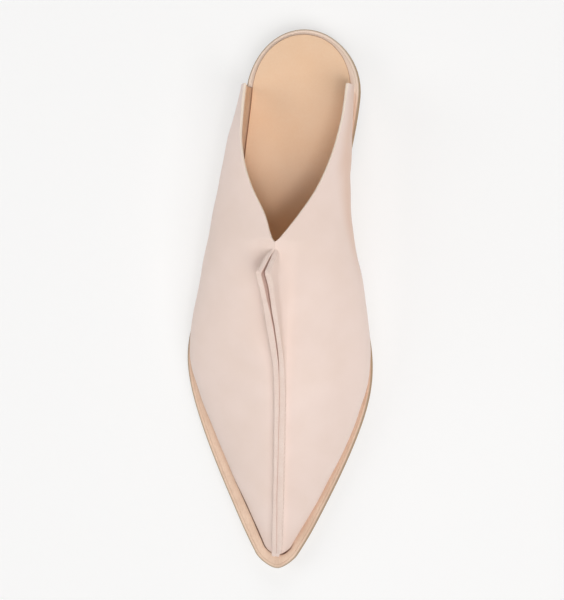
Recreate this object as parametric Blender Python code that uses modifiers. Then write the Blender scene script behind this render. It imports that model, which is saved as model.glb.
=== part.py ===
"""A flat, pointed leather mule for the right foot, in the pieces that its maker joins.

The toe points along -Y, the heel along +Y, up is +Z, and the outer (lateral) side is -X.
Sizes are in millimetres until point() turns them into metres. A station is a distance
from the toe tip along the shoe, and a reach is a distance sideways from the long axis.
"""

import math

import bmesh
import bpy
import numpy as np

# ---- driving sizes ---------------------------------------------------------------
SHOE_LENGTH = 270.0
GAP = 0.3  # air left between pieces that touch
MM = 0.001

OUTSOLE_THICKNESS = 3.5
MIDSOLE_THICKNESS = 3.0
INSOLE_THICKNESS = 2.0
UPPER_WALL = 2.0
MIDSOLE_STEP = 0.5  # the midsole's edge stands back from the outsole's

TOE_SPRING = 7.0
TOE_SPRING_END = 75.0  # the flat tread begins here
TOE_SPRING_CURVE = 1.8
TREAD_END = 125.0  # and the waist begins to rise here
HEEL_SEAT_START = 212.0
HEEL_HEIGHT = 12.0
HEEL_BREAST = 207.0
HEEL_TAPER = 1.2  # how far the heel's foot stands in from its seat
TOP_PIECE_THICKNESS = 4.2
LIFT_COUNT = 2

UPPER_FRONT = 7.5  # the upper's bow, behind the welt
THROAT = 159.5  # the point of the V
WING_END = 239.0
MEDIAL_WING_EXTRA = 2.0  # the inner wing reaches further back
WING_RAKE = 4.0  # the wings' rear edges lean forward by this at the topline
WING_RAKE_START = 205.0
INNER_FRONT = 10.2  # the inside of the bow
INNER_CATCH_UP = 23.0  # behind here inner and outer sections share their stations
SQUARE_FROM = 40.0  # and behind here the wall is square to the surface
INSOLE_FRONT = 14.5
INSOLE_BACK = 266.0
INSOLE_CLEARANCE = UPPER_WALL + 0.4  # keeps the insole inside the upper's wall

TOE_ROUND = 7.0  # lengths of the elliptic ends of each plan
HEEL_ROUND = 33.0
FEATHER_ROUND = 4.5
INSOLE_FRONT_ROUND = 4.0
INSOLE_BACK_ROUND = 30.0

LOW_CORNER = 0.4  # how each side of the upper bends below its widest line
LOW_FULLNESS = 0.6
HIGH_FULLNESS = 0.62  # and above it

RIDGE_SINK = 1.6  # how deep the ridge is rooted in the wall
TAB_REACH = -0.8
TAB_TAPER = 0.8  # the toe tab is narrower on top
SLIT_FOOT = 0.9  # leather left under the slit, above the vamp
SLIT_FOOT_HALF = 0.25
SLIT_CLEAR = 3.0  # how far the slit's cutter stands out above the fin

SOLE_EDGE_CHAMFER = 0.4
LAYER_EDGE_CHAMFER = 0.3

LATERAL, MEDIAL = "lateral", "medial"
SIDE_SIGN = {LATERAL: -1.0, MEDIAL: 1.0}


# ---- tables ------------------------------------------------------------------------
class Table:
    """Rows of named columns, one row a station, joined by a natural cubic spline."""

    def __init__(self, columns, rows):
        values = np.array(rows, dtype=float)
        self.stations = values[:, 0]
        self.columns = {name: values[:, i + 1] for i, name in enumerate(columns)}
        self.bends = {name: self.bending(column) for name, column in self.columns.items()}

    def bending(self, values):
        """Second derivatives that make the spline smooth at every row."""
        step = np.diff(self.stations)
        matrix = np.eye(len(values))
        right = np.zeros(len(values))
        for i in range(1, len(values) - 1):
            matrix[i, i - 1 : i + 2] = step[i - 1], 2 * (step[i - 1] + step[i]), step[i]
            rise_after = (values[i + 1] - values[i]) / step[i]
            rise_before = (values[i] - values[i - 1]) / step[i - 1]
            right[i] = 6 * (rise_after - rise_before)
        return np.linalg.solve(matrix, right)

    def at(self, name, station):
        last = len(self.stations) - 2
        i = int(np.clip(np.searchsorted(self.stations, station) - 1, 0, last))
        step = self.stations[i + 1] - self.stations[i]
        before = (self.stations[i + 1] - station) / step
        after = 1 - before
        values, bends = self.columns[name], self.bends[name]
        straight = before * values[i] + after * values[i + 1]
        bow = (before**3 - before) * bends[i] + (after**3 - after) * bends[i + 1]
        return float(straight + bow * step**2 / 6)


def straight_table(names, rows):
    """Named columns joined by straight runs, for edges that are cut straight."""
    values = np.array(rows, dtype=float)

    def at(name, station):
        return float(np.interp(station, values[:, 0], values[:, names.index(name) + 1]))

    return at


# Half widths of the outsole before its ends are rounded.
OUTSOLE_PLAN = Table(
    (LATERAL, MEDIAL),
    [
        (0, 7.3, 5.5),
        (16, 17.0, 14.7),
        (30, 24.5, 21.3),
        (45, 32.2, 27.85),
        (60, 39.3, 33.7),
        (75, 45.5, 38.6),
        (90, 50.3, 41.7),
        (103, 52.4, 42.1),
        (118, 51.3, 39.9),
        (145, 43.2, 31.5),
        (175, 34.2, 23.8),
        (200, 30.5, 24.3),
        (220, 29.4, 27.15),
        (240, 28.6, 28.95),
        (270, 28.0, 28.6),
    ],
)

# Half widths of the upper where it stands on the welt: its feather edge.
FEATHER_PLAN = Table(
    (LATERAL, MEDIAL),
    [
        (7.5, 4.6, 4.2),
        (14, 7.6, 7.2),
        (26, 13.8, 13.4),
        (41, 21.6, 20.5),
        (56, 29.5, 27.1),
        (72, 36.7, 32.8),
        (88, 43.4, 36.9),
        (103, 47.2, 38.2),
        (118, 46.4, 36.0),
        (133, 42.6, 31.6),
        (148, 38.6, 27.2),
        (162, 34.4, 23.6),
        (176, 31.5, 21.4),
        (190, 29.6, 21.2),
        (205, 28.8, 22.6),
        (220, 27.8, 24.8),
        (239, 26.8, 25.7),
        (270, 26.6, 26.7),
    ],
)

# The upper's widest line, how high it runs above the feather edge, and the shoulders:
# the part of the height below which each side stays steep before it turns over.
LAST_SECTIONS = Table(
    (LATERAL, MEDIAL, "widest_rise", "lateral_shoulder", "medial_shoulder"),
    [
        (7.5, 4.9, 4.4, 1.0, 0.47, 0.47),
        (14, 7.9, 7.5, 1.8, 0.46, 0.54),
        (26, 14.2, 13.9, 2.6, 0.50, 0.58),
        (41, 22.3, 21.2, 3.4, 0.54, 0.64),
        (56, 30.4, 28.0, 4.2, 0.57, 0.69),
        (72, 37.8, 34.0, 5.2, 0.59, 0.73),
        (88, 44.8, 38.8, 6.4, 0.60, 0.76),
        (103, 49.3, 40.9, 8.2, 0.61, 0.77),
        (118, 49.2, 39.9, 11.0, 0.62, 0.76),
        (133, 46.7, 37.7, 14.5, 0.63, 0.75),
        (148, 44.1, 34.3, 17.5, 0.63, 0.72),
        (162, 41.2, 30.6, 19.5, 0.60, 0.66),
        (176, 38.95, 28.2, 20.5, 0.50, 0.58),
        (190, 36.8, 27.1, 20.5, 0.42, 0.50),
        (205, 34.4, 26.6, 19.5, 0.40, 0.46),
        (220, 31.8, 26.5, 18.0, 0.42, 0.45),
        (239, 28.8, 25.8, 16.0, 0.45, 0.45),
    ],
)

# Height of the seam line over the toes and the instep, without its ridge.
SEAM_PROFILE = Table(
    ("height",),
    [
        (7.5, 16.0),
        (10, 18.6),
        (14, 20.8),
        (26, 25.0),
        (41, 29.8),
        (56, 34.5),
        (72, 39.2),
        (88, 43.6),
        (103, 48.0),
        (118, 53.0),
        (133, 58.6),
        (148, 64.4),
        (159.5, 68.5),
    ],
)

# The topline from the throat to the wing ends: its reach on each side and its height.
TOPLINE = Table(
    (LATERAL, MEDIAL, "height"),
    [
        (159.5, 5.5, -5.5, 68.5),
        (160.5, 6.65, -4.1, 68.25),
        (162, 7.5, -2.75, 67.7),
        (164.5, 8.55, -0.95, 66.75),
        (169, 10.05, 2.15, 64.9),
        (175, 12.85, 5.9, 62.6),
        (182, 16.95, 10.05, 60.0),
        (190, 20.8, 13.95, 57.5),
        (199, 23.9, 17.15, 55.1),
        (208, 25.75, 19.65, 53.1),
        (218, 26.4, 21.6, 51.5),
        (228, 26.35, 22.85, 50.5),
        (239, 26.1, 23.75, 50.0),
    ],
)

# The seam leaves the long axis behind the toes, where the fin pulls it to the outer side.
SEAM_LINE = Table(
    ("reach",),
    [
        (7.5, 0.0),
        (26, 0.0),
        (41, -0.1),
        (56, -0.25),
        (72, -0.55),
        (88, -0.95),
        (103, -1.9),
        (118, -3.15),
        (133, -4.05),
        (148, -5.0),
        (159.5, -5.5),
    ],
)

# The raised seam: its height, how far its top leans, and its half width.
RIDGE = straight_table(
    ("height", "lean", "half_width"),
    [
        (9, 1.6, -0.2, 2.4),
        (16, 2.6, 0.0, 2.5),
        (60, 3.4, 0.0, 2.5),
        (98, 3.7, 0.0, 2.7),
        (104, 5.0, 0.0, 2.8),
        (110, 6.4, -0.4, 2.9),
        (119, 8.4, -1.3, 3.0),
        (127, 10.2, -2.1, 3.05),
        (134, 11.7, -2.85, 3.15),
        (139, 12.8, -3.5, 3.35),
        (144.5, 14.0, -4.6, 3.5),
        (154.6, 1.9, -0.7, 2.3),
        (155.7, 0.9, -0.3, 2.1),
    ],
)

# The slit between the two plies of the fin: its half width along the top, and how far
# it lies from the fin's middle.
SLIT = straight_table(
    ("half_width", "shift"),
    [
        (108, 0.2, 0.3),
        (116, 0.26, 0.6),
        (121.5, 0.3, 0.6),
        (127.5, 0.37, 0.32),
        (133, 0.72, 0.12),
        (138.5, 0.88, 0.15),
        (143.8, 0.84, 0.05),
        (146, 0.4, 0.0),
        (153, 0.25, 0.0),
    ],
)

UPPER_STATIONS = (
    [7.5, 7.7, 8.3, 9.3, 11, 14, 18, 23, 29, 35, 41, 48, 56, 64, 72, 80, 88, 96, 103, 110]
    + [118, 126, 133, 140, 148, 153.5, THROAT]
    + [161.5, 164.5, 168, 172, 177, 182, 188, 194, 201, 208, 217, 227, WING_END]
)
TAB_ROWS = [(6.3, 1.5, 1.65), (7.0, 2.6, 1.95)]  # the toe tab's station, thickness, half width
RIDGE_STATIONS = [8, 9.5, 12, 16, 23, 32, 42, 60, 78, 98, 104, 110, 119, 127, 134, 139, 144.5]
RIDGE_STATIONS += [149.5, 154.6, 155.7]
SLIT_STATIONS = [108, 116, 121.5, 127.5, 133, 138.5, 143.8, 146, 149.5, 153]


# ---- shape helpers -----------------------------------------------------------------
def smooth_rise(value):
    value = min(1.0, max(0.0, value))
    return value * value * (3 - 2 * value)


def tread_height(station):
    """Underside of the outsole: toe spring, flat tread, rising waist and heel seat."""
    spring = max(0.0, 1 - station / TOE_SPRING_END) ** TOE_SPRING_CURVE
    waist = smooth_rise((station - TREAD_END) / (HEEL_SEAT_START - TREAD_END))
    return TOE_SPRING * spring + HEEL_HEIGHT * waist


def above_tread(rise):
    return lambda station: tread_height(station) + rise


OUTSOLE_TOP = above_tread(OUTSOLE_THICKNESS)
MIDSOLE_FOOT = above_tread(OUTSOLE_THICKNESS + GAP)
MIDSOLE_TOP = above_tread(OUTSOLE_THICKNESS + GAP + MIDSOLE_THICKNESS)
FEATHER_HEIGHT = above_tread(OUTSOLE_THICKNESS + MIDSOLE_THICKNESS + 2 * GAP)
INSOLE_TOP = above_tread(OUTSOLE_THICKNESS + MIDSOLE_THICKNESS + 2 * GAP + INSOLE_THICKNESS)


class Outline:
    """The plan of a layer: half widths beside the long axis, with elliptic ends."""

    def __init__(self, plan, front, back, front_round, back_round, inset=0.0):
        self.plan = plan
        self.front, self.back = front + inset, back - inset
        self.front_round, self.back_round = front_round, back_round
        self.inset = inset

    def end_factor(self, station):
        front = min(1.0, max(0.0, (station - self.front) / self.front_round))
        back = min(1.0, max(0.0, (self.back - station) / self.back_round))
        return math.sqrt(1 - (1 - front) ** 2) * math.sqrt(1 - (1 - back) ** 2)

    def half_width(self, side, station):
        """An inset is measured square to the flank, so a slanting flank takes more."""
        slope = self.plan.at(side, station + 0.5) - self.plan.at(side, station - 0.5)
        flank = self.plan.at(side, station) - self.inset * math.hypot(1, slope)
        return flank * self.end_factor(station)

    def stations(self, start=None, middle_step=7.5, end_count=8):
        """Even steps along the flanks, and even angles round the ends."""
        turns = [math.pi / 2 * i / end_count for i in range(end_count + 1)]
        rows = []
        if start is None:
            start = self.front + self.front_round
            rows += [self.front + self.front_round * (1 - math.cos(turn)) for turn in turns[:-1]]
        last = self.back - self.back_round
        count = max(1, round((last - start) / middle_step))
        rows += [start + (last - start) * i / count for i in range(count)]
        rows += [last + self.back_round * math.sin(turn) for turn in turns]
        return rows


def sole_outline(inset):
    return Outline(OUTSOLE_PLAN, 0, SHOE_LENGTH, TOE_ROUND, HEEL_ROUND, inset)


def upper_outline(plan):
    """The upper is rounded only at its bow, because its wings end before the heel."""
    return Outline(plan, UPPER_FRONT, 2 * SHOE_LENGTH, FEATHER_ROUND, HEEL_ROUND)


OUTSOLE_OUTLINE = sole_outline(0)
MIDSOLE_OUTLINE = sole_outline(MIDSOLE_STEP)
FEATHER_OUTLINE = upper_outline(FEATHER_PLAN)
WIDEST_OUTLINE = upper_outline(LAST_SECTIONS)
INSOLE_OUTLINE = Outline(
    FEATHER_PLAN,
    INSOLE_FRONT - INSOLE_CLEARANCE,
    INSOLE_BACK + INSOLE_CLEARANCE,
    INSOLE_FRONT_ROUND,
    INSOLE_BACK_ROUND,
    INSOLE_CLEARANCE,
)


def widest(side):
    return max(OUTSOLE_OUTLINE.half_width(side, s) for s in range(80, 130))


CENTRE_SHIFT = (widest(LATERAL) - widest(MEDIAL)) / 2


def point(reach, station, height):
    """Millimetres in the shoe's own measures to metres, with the origin mid-shoe on the floor."""
    return (
        (reach + CENTRE_SHIFT) * MM,
        (station - SHOE_LENGTH / 2) * MM,
        height * MM,
    )


def arc(start, corner, end, fullness, count):
    """A curve that leaves start and reaches end heading along the lines to the corner."""
    start, corner, end = (np.array(p, dtype=float) for p in (start, corner, end))
    leave = start + fullness * (corner - start)
    arrive = end + fullness * (corner - end)
    points = []
    for i in range(count + 1):
        t = i / count
        weights = (1 - t) ** 3, 3 * (1 - t) ** 2 * t, 3 * (1 - t) * t**2, t**3
        points.append(sum(w * p for w, p in zip(weights, (start, leave, arrive, end))))
    return points


def upper_edge(side, station):
    """Where the outer surface ends at the top: the seam ahead of the throat, then the topline."""
    if station <= THROAT:
        return SIDE_SIGN[side] * SEAM_LINE.at("reach", station), SEAM_PROFILE.at("height", station)
    return TOPLINE.at(side, station), TOPLINE.at("height", station)


def half_section(side, station, low_count=3, high_count=10):
    """Outer surface of one side, feather edge to top edge, as (reach, height) points."""
    foot = FEATHER_OUTLINE.half_width(side, station), FEATHER_HEIGHT(station)
    widest_height = foot[1] + LAST_SECTIONS.at("widest_rise", station)
    belly = WIDEST_OUTLINE.half_width(side, station), widest_height
    edge = upper_edge(side, station)
    shoulder = LAST_SECTIONS.at(side + "_shoulder", station)
    low_corner = belly[0], foot[1] + LOW_CORNER * (belly[1] - foot[1])
    high_corner = belly[0], belly[1] + shoulder * (edge[1] - belly[1])
    low = arc(foot, low_corner, belly, LOW_FULLNESS, low_count)
    high = arc(belly, high_corner, edge, HIGH_FULLNESS, high_count)
    return low + high[1:]


def raked(side, station, share):
    """Places the wings' rear edges, slanted: share is 0 at the feather edge and 1 on top."""
    ease = smooth_rise((station - WING_RAKE_START) / (WING_END - WING_RAKE_START))
    extra = MEDIAL_WING_EXTRA if side == MEDIAL else 0.0
    return station + ease * (extra - WING_RAKE * share)


# ---- mesh helpers ------------------------------------------------------------------
def finish_mesh(name, mesh_data):
    bmesh.ops.remove_doubles(mesh_data, verts=mesh_data.verts, dist=1e-6)
    bmesh.ops.recalc_face_normals(mesh_data, faces=mesh_data.faces)
    mesh = bpy.data.meshes.new(name)
    mesh_data.to_mesh(mesh)
    mesh_data.free()
    mesh.shade_smooth()
    mesh.set_sharp_from_angle(angle=math.radians(40))
    return bpy.data.objects.new(name, mesh)


def loft(name, rings):
    """A closed solid through rings of equal count, with both ends capped."""
    mesh_data = bmesh.new()
    rows = [[mesh_data.verts.new(p) for p in ring] for ring in rings]
    count = len(rings[0])
    for near, far in zip(rows, rows[1:]):
        for i in range(count):
            j = (i + 1) % count
            mesh_data.faces.new((near[i], near[j], far[j], far[i]))
    mesh_data.faces.new(rows[0])
    mesh_data.faces.new(rows[-1])
    return finish_mesh(name, mesh_data)


def plate(name, low, high, low_outline, high_outline=None, start=None):
    """A layer between two heights that change along the shoe, and between two plans."""
    high_outline = high_outline or low_outline
    rings = []
    for s_low, s_high in zip(low_outline.stations(start), high_outline.stations(start)):
        left_low, right_low = (low_outline.half_width(side, s_low) for side in (LATERAL, MEDIAL))
        left_high, right_high = (high_outline.half_width(side, s_high) for side in (LATERAL, MEDIAL))
        rings.append(
            [
                point(-left_low, s_low, low(s_low)),
                point(right_low, s_low, low(s_low)),
                point(right_high, s_high, high(s_high)),
                point(-left_high, s_high, high(s_high)),
            ]
        )
    return loft(name, rings)


def chamfer(piece, width):
    """Takes the sharp corner off a layer's edges."""
    bevel = piece.modifiers.new("edge", "BEVEL")
    bevel.width = width * MM
    bevel.segments = 1
    bevel.limit_method = "ANGLE"
    bevel.angle_limit = math.radians(50)
    return piece


def finish(name, colour, roughness):
    material = bpy.data.materials.new(name)
    material.use_nodes = True
    shader = material.node_tree.nodes["Principled BSDF"]
    shader.inputs["Base Color"].default_value = (*colour, 1)
    shader.inputs["Roughness"].default_value = roughness
    shader.inputs["Metallic"].default_value = 0.0
    return material


# ---- the pieces --------------------------------------------------------------------
def make_outsole():
    piece = plate("outsole", tread_height, OUTSOLE_TOP, OUTSOLE_OUTLINE)
    return chamfer(piece, SOLE_EDGE_CHAMFER), finish("sole_leather", (0.50, 0.36, 0.24), 0.55)


def make_midsole():
    piece = plate("midsole_welt", MIDSOLE_FOOT, MIDSOLE_TOP, MIDSOLE_OUTLINE)
    return chamfer(piece, LAYER_EDGE_CHAMFER), finish("welt_leather", (0.76, 0.56, 0.38), 0.5)


def make_insole():
    piece = plate("insole", FEATHER_HEIGHT, INSOLE_TOP, INSOLE_OUTLINE)
    return chamfer(piece, LAYER_EDGE_CHAMFER), finish("insole_leather", (0.79, 0.52, 0.34), 0.45)


def heel_reach(height):
    """The heel's plan at a height: it narrows evenly from the seat down to the floor."""
    return sole_outline(HEEL_TAPER * (1 - height / HEEL_HEIGHT))


def heel_block(name, low_height, high_height, high=None):
    """One layer of the heel, level below; the highest follows the heel seat above."""
    return plate(
        name,
        lambda station: low_height,
        high or (lambda station: high_height),
        heel_reach(low_height),
        heel_reach(high_height),
        start=HEEL_BREAST,
    )


def make_heel():
    """A rubber top piece on the floor, and leather lifts up to the heel seat."""
    top_piece = heel_block("heel_top_piece", 0.0, TOP_PIECE_THICKNESS)
    rubber = finish("heel_rubber", (0.055, 0.045, 0.04), 0.7)
    pieces = [(chamfer(top_piece, SOLE_EDGE_CHAMFER), rubber)]
    lift_room = HEEL_HEIGHT - TOP_PIECE_THICKNESS - GAP
    lift_step = lift_room / LIFT_COUNT
    for i in range(LIFT_COUNT):
        low = TOP_PIECE_THICKNESS + GAP + i * lift_step
        seat = above_tread(-GAP) if i == LIFT_COUNT - 1 else None
        lift = heel_block(f"heel_lift_{i + 1}", low, low + lift_step - GAP, seat)
        stacked = finish(f"lift_leather_{i + 1}", (0.47, 0.33, 0.21), 0.55)
        pieces.append((chamfer(lift, LAYER_EDGE_CHAMFER), stacked))
    return pieces


def inner_station(station):
    """The inside begins behind the bow's wall and catches up with the outside further back."""
    share = (station - UPPER_FRONT) / (INNER_CATCH_UP - UPPER_FRONT)
    return max(station, INNER_FRONT + (INNER_CATCH_UP - INNER_FRONT) * share)


def squared_in(outer, wall):
    """The section moved in by the wall, square to itself."""
    inner = []
    for i, here in enumerate(outer):
        before, after = outer[max(i - 1, 0)], outer[min(i + 1, len(outer) - 1)]
        along = np.subtract(after, before)
        inward = np.array((-along[1], along[0])) / np.hypot(*along)
        inner.append(np.add(here, wall * inward))
    return inner


def scaled_in(outer, wall):
    """The section shrunk by the wall, which keeps its shape where it is narrow."""
    foot = outer[0]
    across = 1 - wall / max(reach for reach, height in outer)
    up = 1 - wall / (outer[-1][1] - foot[1])
    return [(reach * across, foot[1] + (height - foot[1]) * up) for reach, height in outer]


def inner_half_section(side, station):
    """The inside of one side, feather edge to top edge, as (reach, height) points."""
    outer = half_section(side, station)
    slope = WIDEST_OUTLINE.plan.at(side, station + 0.5) - WIDEST_OUTLINE.plan.at(side, station - 0.5)
    wall = UPPER_WALL * math.hypot(1, slope)
    share = smooth_rise((station - INNER_CATCH_UP) / (SQUARE_FROM - INNER_CATCH_UP))
    inner = squared_in(outer, wall)
    if share < 1:
        narrow = scaled_in(outer, wall)
        inner = [share * np.array(a) + (1 - share) * np.array(b) for a, b in zip(inner, narrow)]
    if station <= THROAT:
        inner[-1] = outer[-1][0], outer[-1][1] - UPPER_WALL
    return inner


def section_row(mesh_data, side, station, section):
    """New vertices for one section, with the wings' rear edges slanted."""
    low, high = section[0][1], section[-1][1]
    row = []
    for reach, height in section:
        share = (height - low) / (high - low)
        place = point(SIDE_SIGN[side] * reach, raked(side, station, share), height)
        row.append(mesh_data.verts.new(place))
    return row


def bridge(mesh_data, near, far):
    for i in range(len(near) - 1):
        mesh_data.faces.new((near[i], near[i + 1], far[i + 1], far[i]))


def make_upper_shell():
    """Outer and inner grids on each side of the seam, joined along every open edge."""
    mesh_data = bmesh.new()
    inner_bows = []
    for side in (LATERAL, MEDIAL):
        outer = [section_row(mesh_data, side, s, half_section(side, s)) for s in UPPER_STATIONS]
        insides = [inner_station(s) for s in UPPER_STATIONS]
        inner = [section_row(mesh_data, side, s, inner_half_section(side, s)) for s in insides]
        for rows in (outer, inner):
            for near, far in zip(rows, rows[1:]):
                bridge(mesh_data, near, far)
        bridge(mesh_data, [row[0] for row in outer], [row[0] for row in inner])
        bridge(mesh_data, outer[-1], inner[-1])
        throat = UPPER_STATIONS.index(THROAT)
        bridge(mesh_data, [row[-1] for row in outer[throat:]], [row[-1] for row in inner[throat:]])
        inner_bows.append(inner[0])
        bow_foot = outer[0][0]
    lateral_bow, medial_bow = inner_bows
    bridge(mesh_data, lateral_bow, medial_bow)
    mesh_data.faces.new((bow_foot, lateral_bow[0], medial_bow[0]))
    return finish_mesh("upper", mesh_data)


def ridge_ring(station):
    """Four corners of the raised seam: rooted in the wall, leaning at the top."""
    middle, surface = SEAM_LINE.at("reach", station), SEAM_PROFILE.at("height", station)
    half = RIDGE("half_width", station)
    tip = middle + RIDGE("lean", station), surface + RIDGE("height", station)
    foot = surface - RIDGE_SINK
    return [
        point(middle - half, station, foot),
        point(middle + half, station, foot),
        point(tip[0] + half, station, tip[1]),
        point(tip[0] - half, station, tip[1]),
    ]


def make_ridge():
    """Both panels' turned-up edges as one bar, with the tab that ends it on the welt."""
    rings = []
    for station, thickness, half in TAB_ROWS:
        low = FEATHER_HEIGHT(station)
        rings.append(
            [
                point(TAB_REACH - half, station, low),
                point(TAB_REACH + half, station, low),
                point(TAB_REACH + half * TAB_TAPER, station, low + thickness),
                point(TAB_REACH - half * TAB_TAPER, station, low + thickness),
            ]
        )
    rings += [ridge_ring(station) for station in RIDGE_STATIONS]
    return loft("seam_ridge", rings)


def make_slit():
    """A wedge that parts the two plies of the fin, narrow at its foot."""
    rings = []
    for station in SLIT_STATIONS:
        middle, surface = SEAM_LINE.at("reach", station), SEAM_PROFILE.at("height", station)
        lean, height = RIDGE("lean", station), RIDGE("height", station)
        half, shift = SLIT("half_width", station), SLIT("shift", station)
        reach_per_height = (lean + shift) / (height + RIDGE_SINK)
        foot_reach = middle + reach_per_height * (SLIT_FOOT + RIDGE_SINK)
        top_reach = middle + reach_per_height * (height + SLIT_CLEAR + RIDGE_SINK)
        rings.append(
            [
                point(foot_reach - SLIT_FOOT_HALF, station, surface + SLIT_FOOT),
                point(foot_reach + SLIT_FOOT_HALF, station, surface + SLIT_FOOT),
                point(top_reach + half, station, surface + height + SLIT_CLEAR),
                point(top_reach - half, station, surface + height + SLIT_CLEAR),
            ]
        )
    return loft("slit_cutter", rings)


def boolean(target, tool, operation):
    step = target.modifiers.new(tool.name, "BOOLEAN")
    step.operation = operation
    step.solver = "EXACT"
    step.object = tool
    tool.hide_render = True
    tool.display_type = "WIRE"


def make_upper():
    shell, ridge, slit = make_upper_shell(), make_ridge(), make_slit()
    boolean(shell, ridge, "UNION")
    boolean(shell, slit, "DIFFERENCE")
    return shell, finish("upper_leather", (0.77, 0.62, 0.54), 0.5), [ridge, slit]


def main():
    for thing in list(bpy.data.objects):
        bpy.data.objects.remove(thing)
    parts = bpy.data.collections.new("mule")
    cutters = bpy.data.collections.new("mule_cutters")
    for collection in (parts, cutters):
        bpy.context.scene.collection.children.link(collection)
    upper, upper_material, tools = make_upper()
    made = [make_outsole(), make_midsole(), make_insole(), *make_heel(), (upper, upper_material)]
    for piece, material in made:
        piece.data.materials.append(material)
        parts.objects.link(piece)
    for tool in tools:
        cutters.objects.link(tool)


main()
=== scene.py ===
# %% [markdown]
# # A flat pointed mule
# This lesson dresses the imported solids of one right-foot mule: a backless slip-on of soft
# leather. Two panels meet at a raised seam that opens into a leaning fin. They stand on a flat
# stack of welt and outsole over a low heel, with an insole inside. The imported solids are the
# frame. Everything made here takes its place from them and rides on their one body.

# %% The frame
import math

import bmesh
import bpy
import numpy as np
from mathutils import Matrix, Vector


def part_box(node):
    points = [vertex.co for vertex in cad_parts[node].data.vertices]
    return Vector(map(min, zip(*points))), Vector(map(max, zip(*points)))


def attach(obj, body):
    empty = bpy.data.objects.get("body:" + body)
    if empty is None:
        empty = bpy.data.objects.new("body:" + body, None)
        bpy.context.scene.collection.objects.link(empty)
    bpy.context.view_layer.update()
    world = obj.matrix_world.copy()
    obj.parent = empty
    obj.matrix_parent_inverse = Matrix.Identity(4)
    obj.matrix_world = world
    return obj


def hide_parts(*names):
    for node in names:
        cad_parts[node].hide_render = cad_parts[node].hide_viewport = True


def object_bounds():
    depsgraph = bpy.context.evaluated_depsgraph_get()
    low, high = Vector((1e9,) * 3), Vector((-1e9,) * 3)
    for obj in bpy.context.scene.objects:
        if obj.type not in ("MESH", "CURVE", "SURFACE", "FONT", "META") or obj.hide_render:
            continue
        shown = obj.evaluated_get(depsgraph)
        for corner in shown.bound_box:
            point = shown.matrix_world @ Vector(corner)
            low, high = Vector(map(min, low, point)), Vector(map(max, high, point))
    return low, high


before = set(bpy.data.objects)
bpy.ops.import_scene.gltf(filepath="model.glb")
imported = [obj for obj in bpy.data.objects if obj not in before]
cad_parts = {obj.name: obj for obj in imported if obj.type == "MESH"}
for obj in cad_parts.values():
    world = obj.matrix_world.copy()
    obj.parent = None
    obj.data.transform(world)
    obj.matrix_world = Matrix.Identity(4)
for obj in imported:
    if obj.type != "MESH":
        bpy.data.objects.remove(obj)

cad_low, cad_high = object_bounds()
print("frame", [round(value, 4) for value in (*cad_low, *cad_high)])

# %% [markdown]
# ## Sizes of a shoe
# Shoemakers measure along the shoe and across it. A station is a distance in millimetres
# from the toe tip, and a reach is a distance sideways from the long axis. The outer side of
# the foot is lateral, the inner side medial. The shoe's length and the heights of its layers
# are read from the frame's boxes, so that the looks follow the solids when they change.

# %% Layer heights from the frame
MM = 0.001
TINY = 1e-9  # keeps a division safe where a length vanishes
LATERAL, MEDIAL = "lateral", "medial"
SIDE_SIGN = {LATERAL: -1.0, MEDIAL: 1.0}

SHOE_LENGTH = (cad_high.y - cad_low.y) / MM
HEEL_GAP = 0.3  # the solids' air gap between the highest lift and the heel seat
HEEL_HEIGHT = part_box("heel_lift_2")[1].z / MM + HEEL_GAP
HEEL_BREAST = (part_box("heel_top_piece")[0].y - cad_low.y) / MM


def rise_of(node):
    """How far a layer's top lies above the tread, read where the tread is the heel seat."""
    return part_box(node)[1].z / MM - HEEL_HEIGHT


OUTSOLE_RISE, WELT_RISE, INSOLE_RISE = (rise_of(n) for n in ("outsole", "midsole_welt", "insole"))
print("layers above the tread, mm:", round(OUTSOLE_RISE, 2), round(WELT_RISE, 2), round(INSOLE_RISE, 2))

# %% [markdown]
# ## The last as short tables
# A last is the wooden foot that a shoe is made on. A few measured sections, joined by smooth
# curves, hold its whole shape. Each table below has a row for each section and a natural
# cubic spline between the rows, which bends as a thin batten does.

# %% A table that bends like a batten
class Table:
    """Rows of named columns, one row a station, joined by a natural cubic spline."""

    def __init__(self, columns, rows):
        values = np.array(rows, dtype=float)
        self.stations = values[:, 0]
        self.columns = {name: values[:, i + 1] for i, name in enumerate(columns)}
        self.bends = {name: self.bending(column) for name, column in self.columns.items()}

    def bending(self, values):
        step = np.diff(self.stations)
        matrix = np.eye(len(values))
        right = np.zeros(len(values))
        for i in range(1, len(values) - 1):
            matrix[i, i - 1 : i + 2] = step[i - 1], 2 * (step[i - 1] + step[i]), step[i]
            rise_after = (values[i + 1] - values[i]) / step[i]
            rise_before = (values[i] - values[i - 1]) / step[i - 1]
            right[i] = 6 * (rise_after - rise_before)
        return np.linalg.solve(matrix, right)

    def at(self, name, station):
        last = len(self.stations) - 2
        i = int(np.clip(np.searchsorted(self.stations, station) - 1, 0, last))
        step = self.stations[i + 1] - self.stations[i]
        before = (self.stations[i + 1] - station) / step
        after = 1 - before
        values, bends = self.columns[name], self.bends[name]
        straight = before * values[i] + after * values[i + 1]
        bow = (before**3 - before) * bends[i] + (after**3 - after) * bends[i + 1]
        return float(straight + bow * step**2 / 6)


def straight_table(names, rows):
    """Named columns joined by straight runs, for edges that are cut straight."""
    values = np.array(rows, dtype=float)

    def at(name, station):
        return float(np.interp(station, values[:, 0], values[:, names.index(name) + 1]))

    return at


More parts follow.
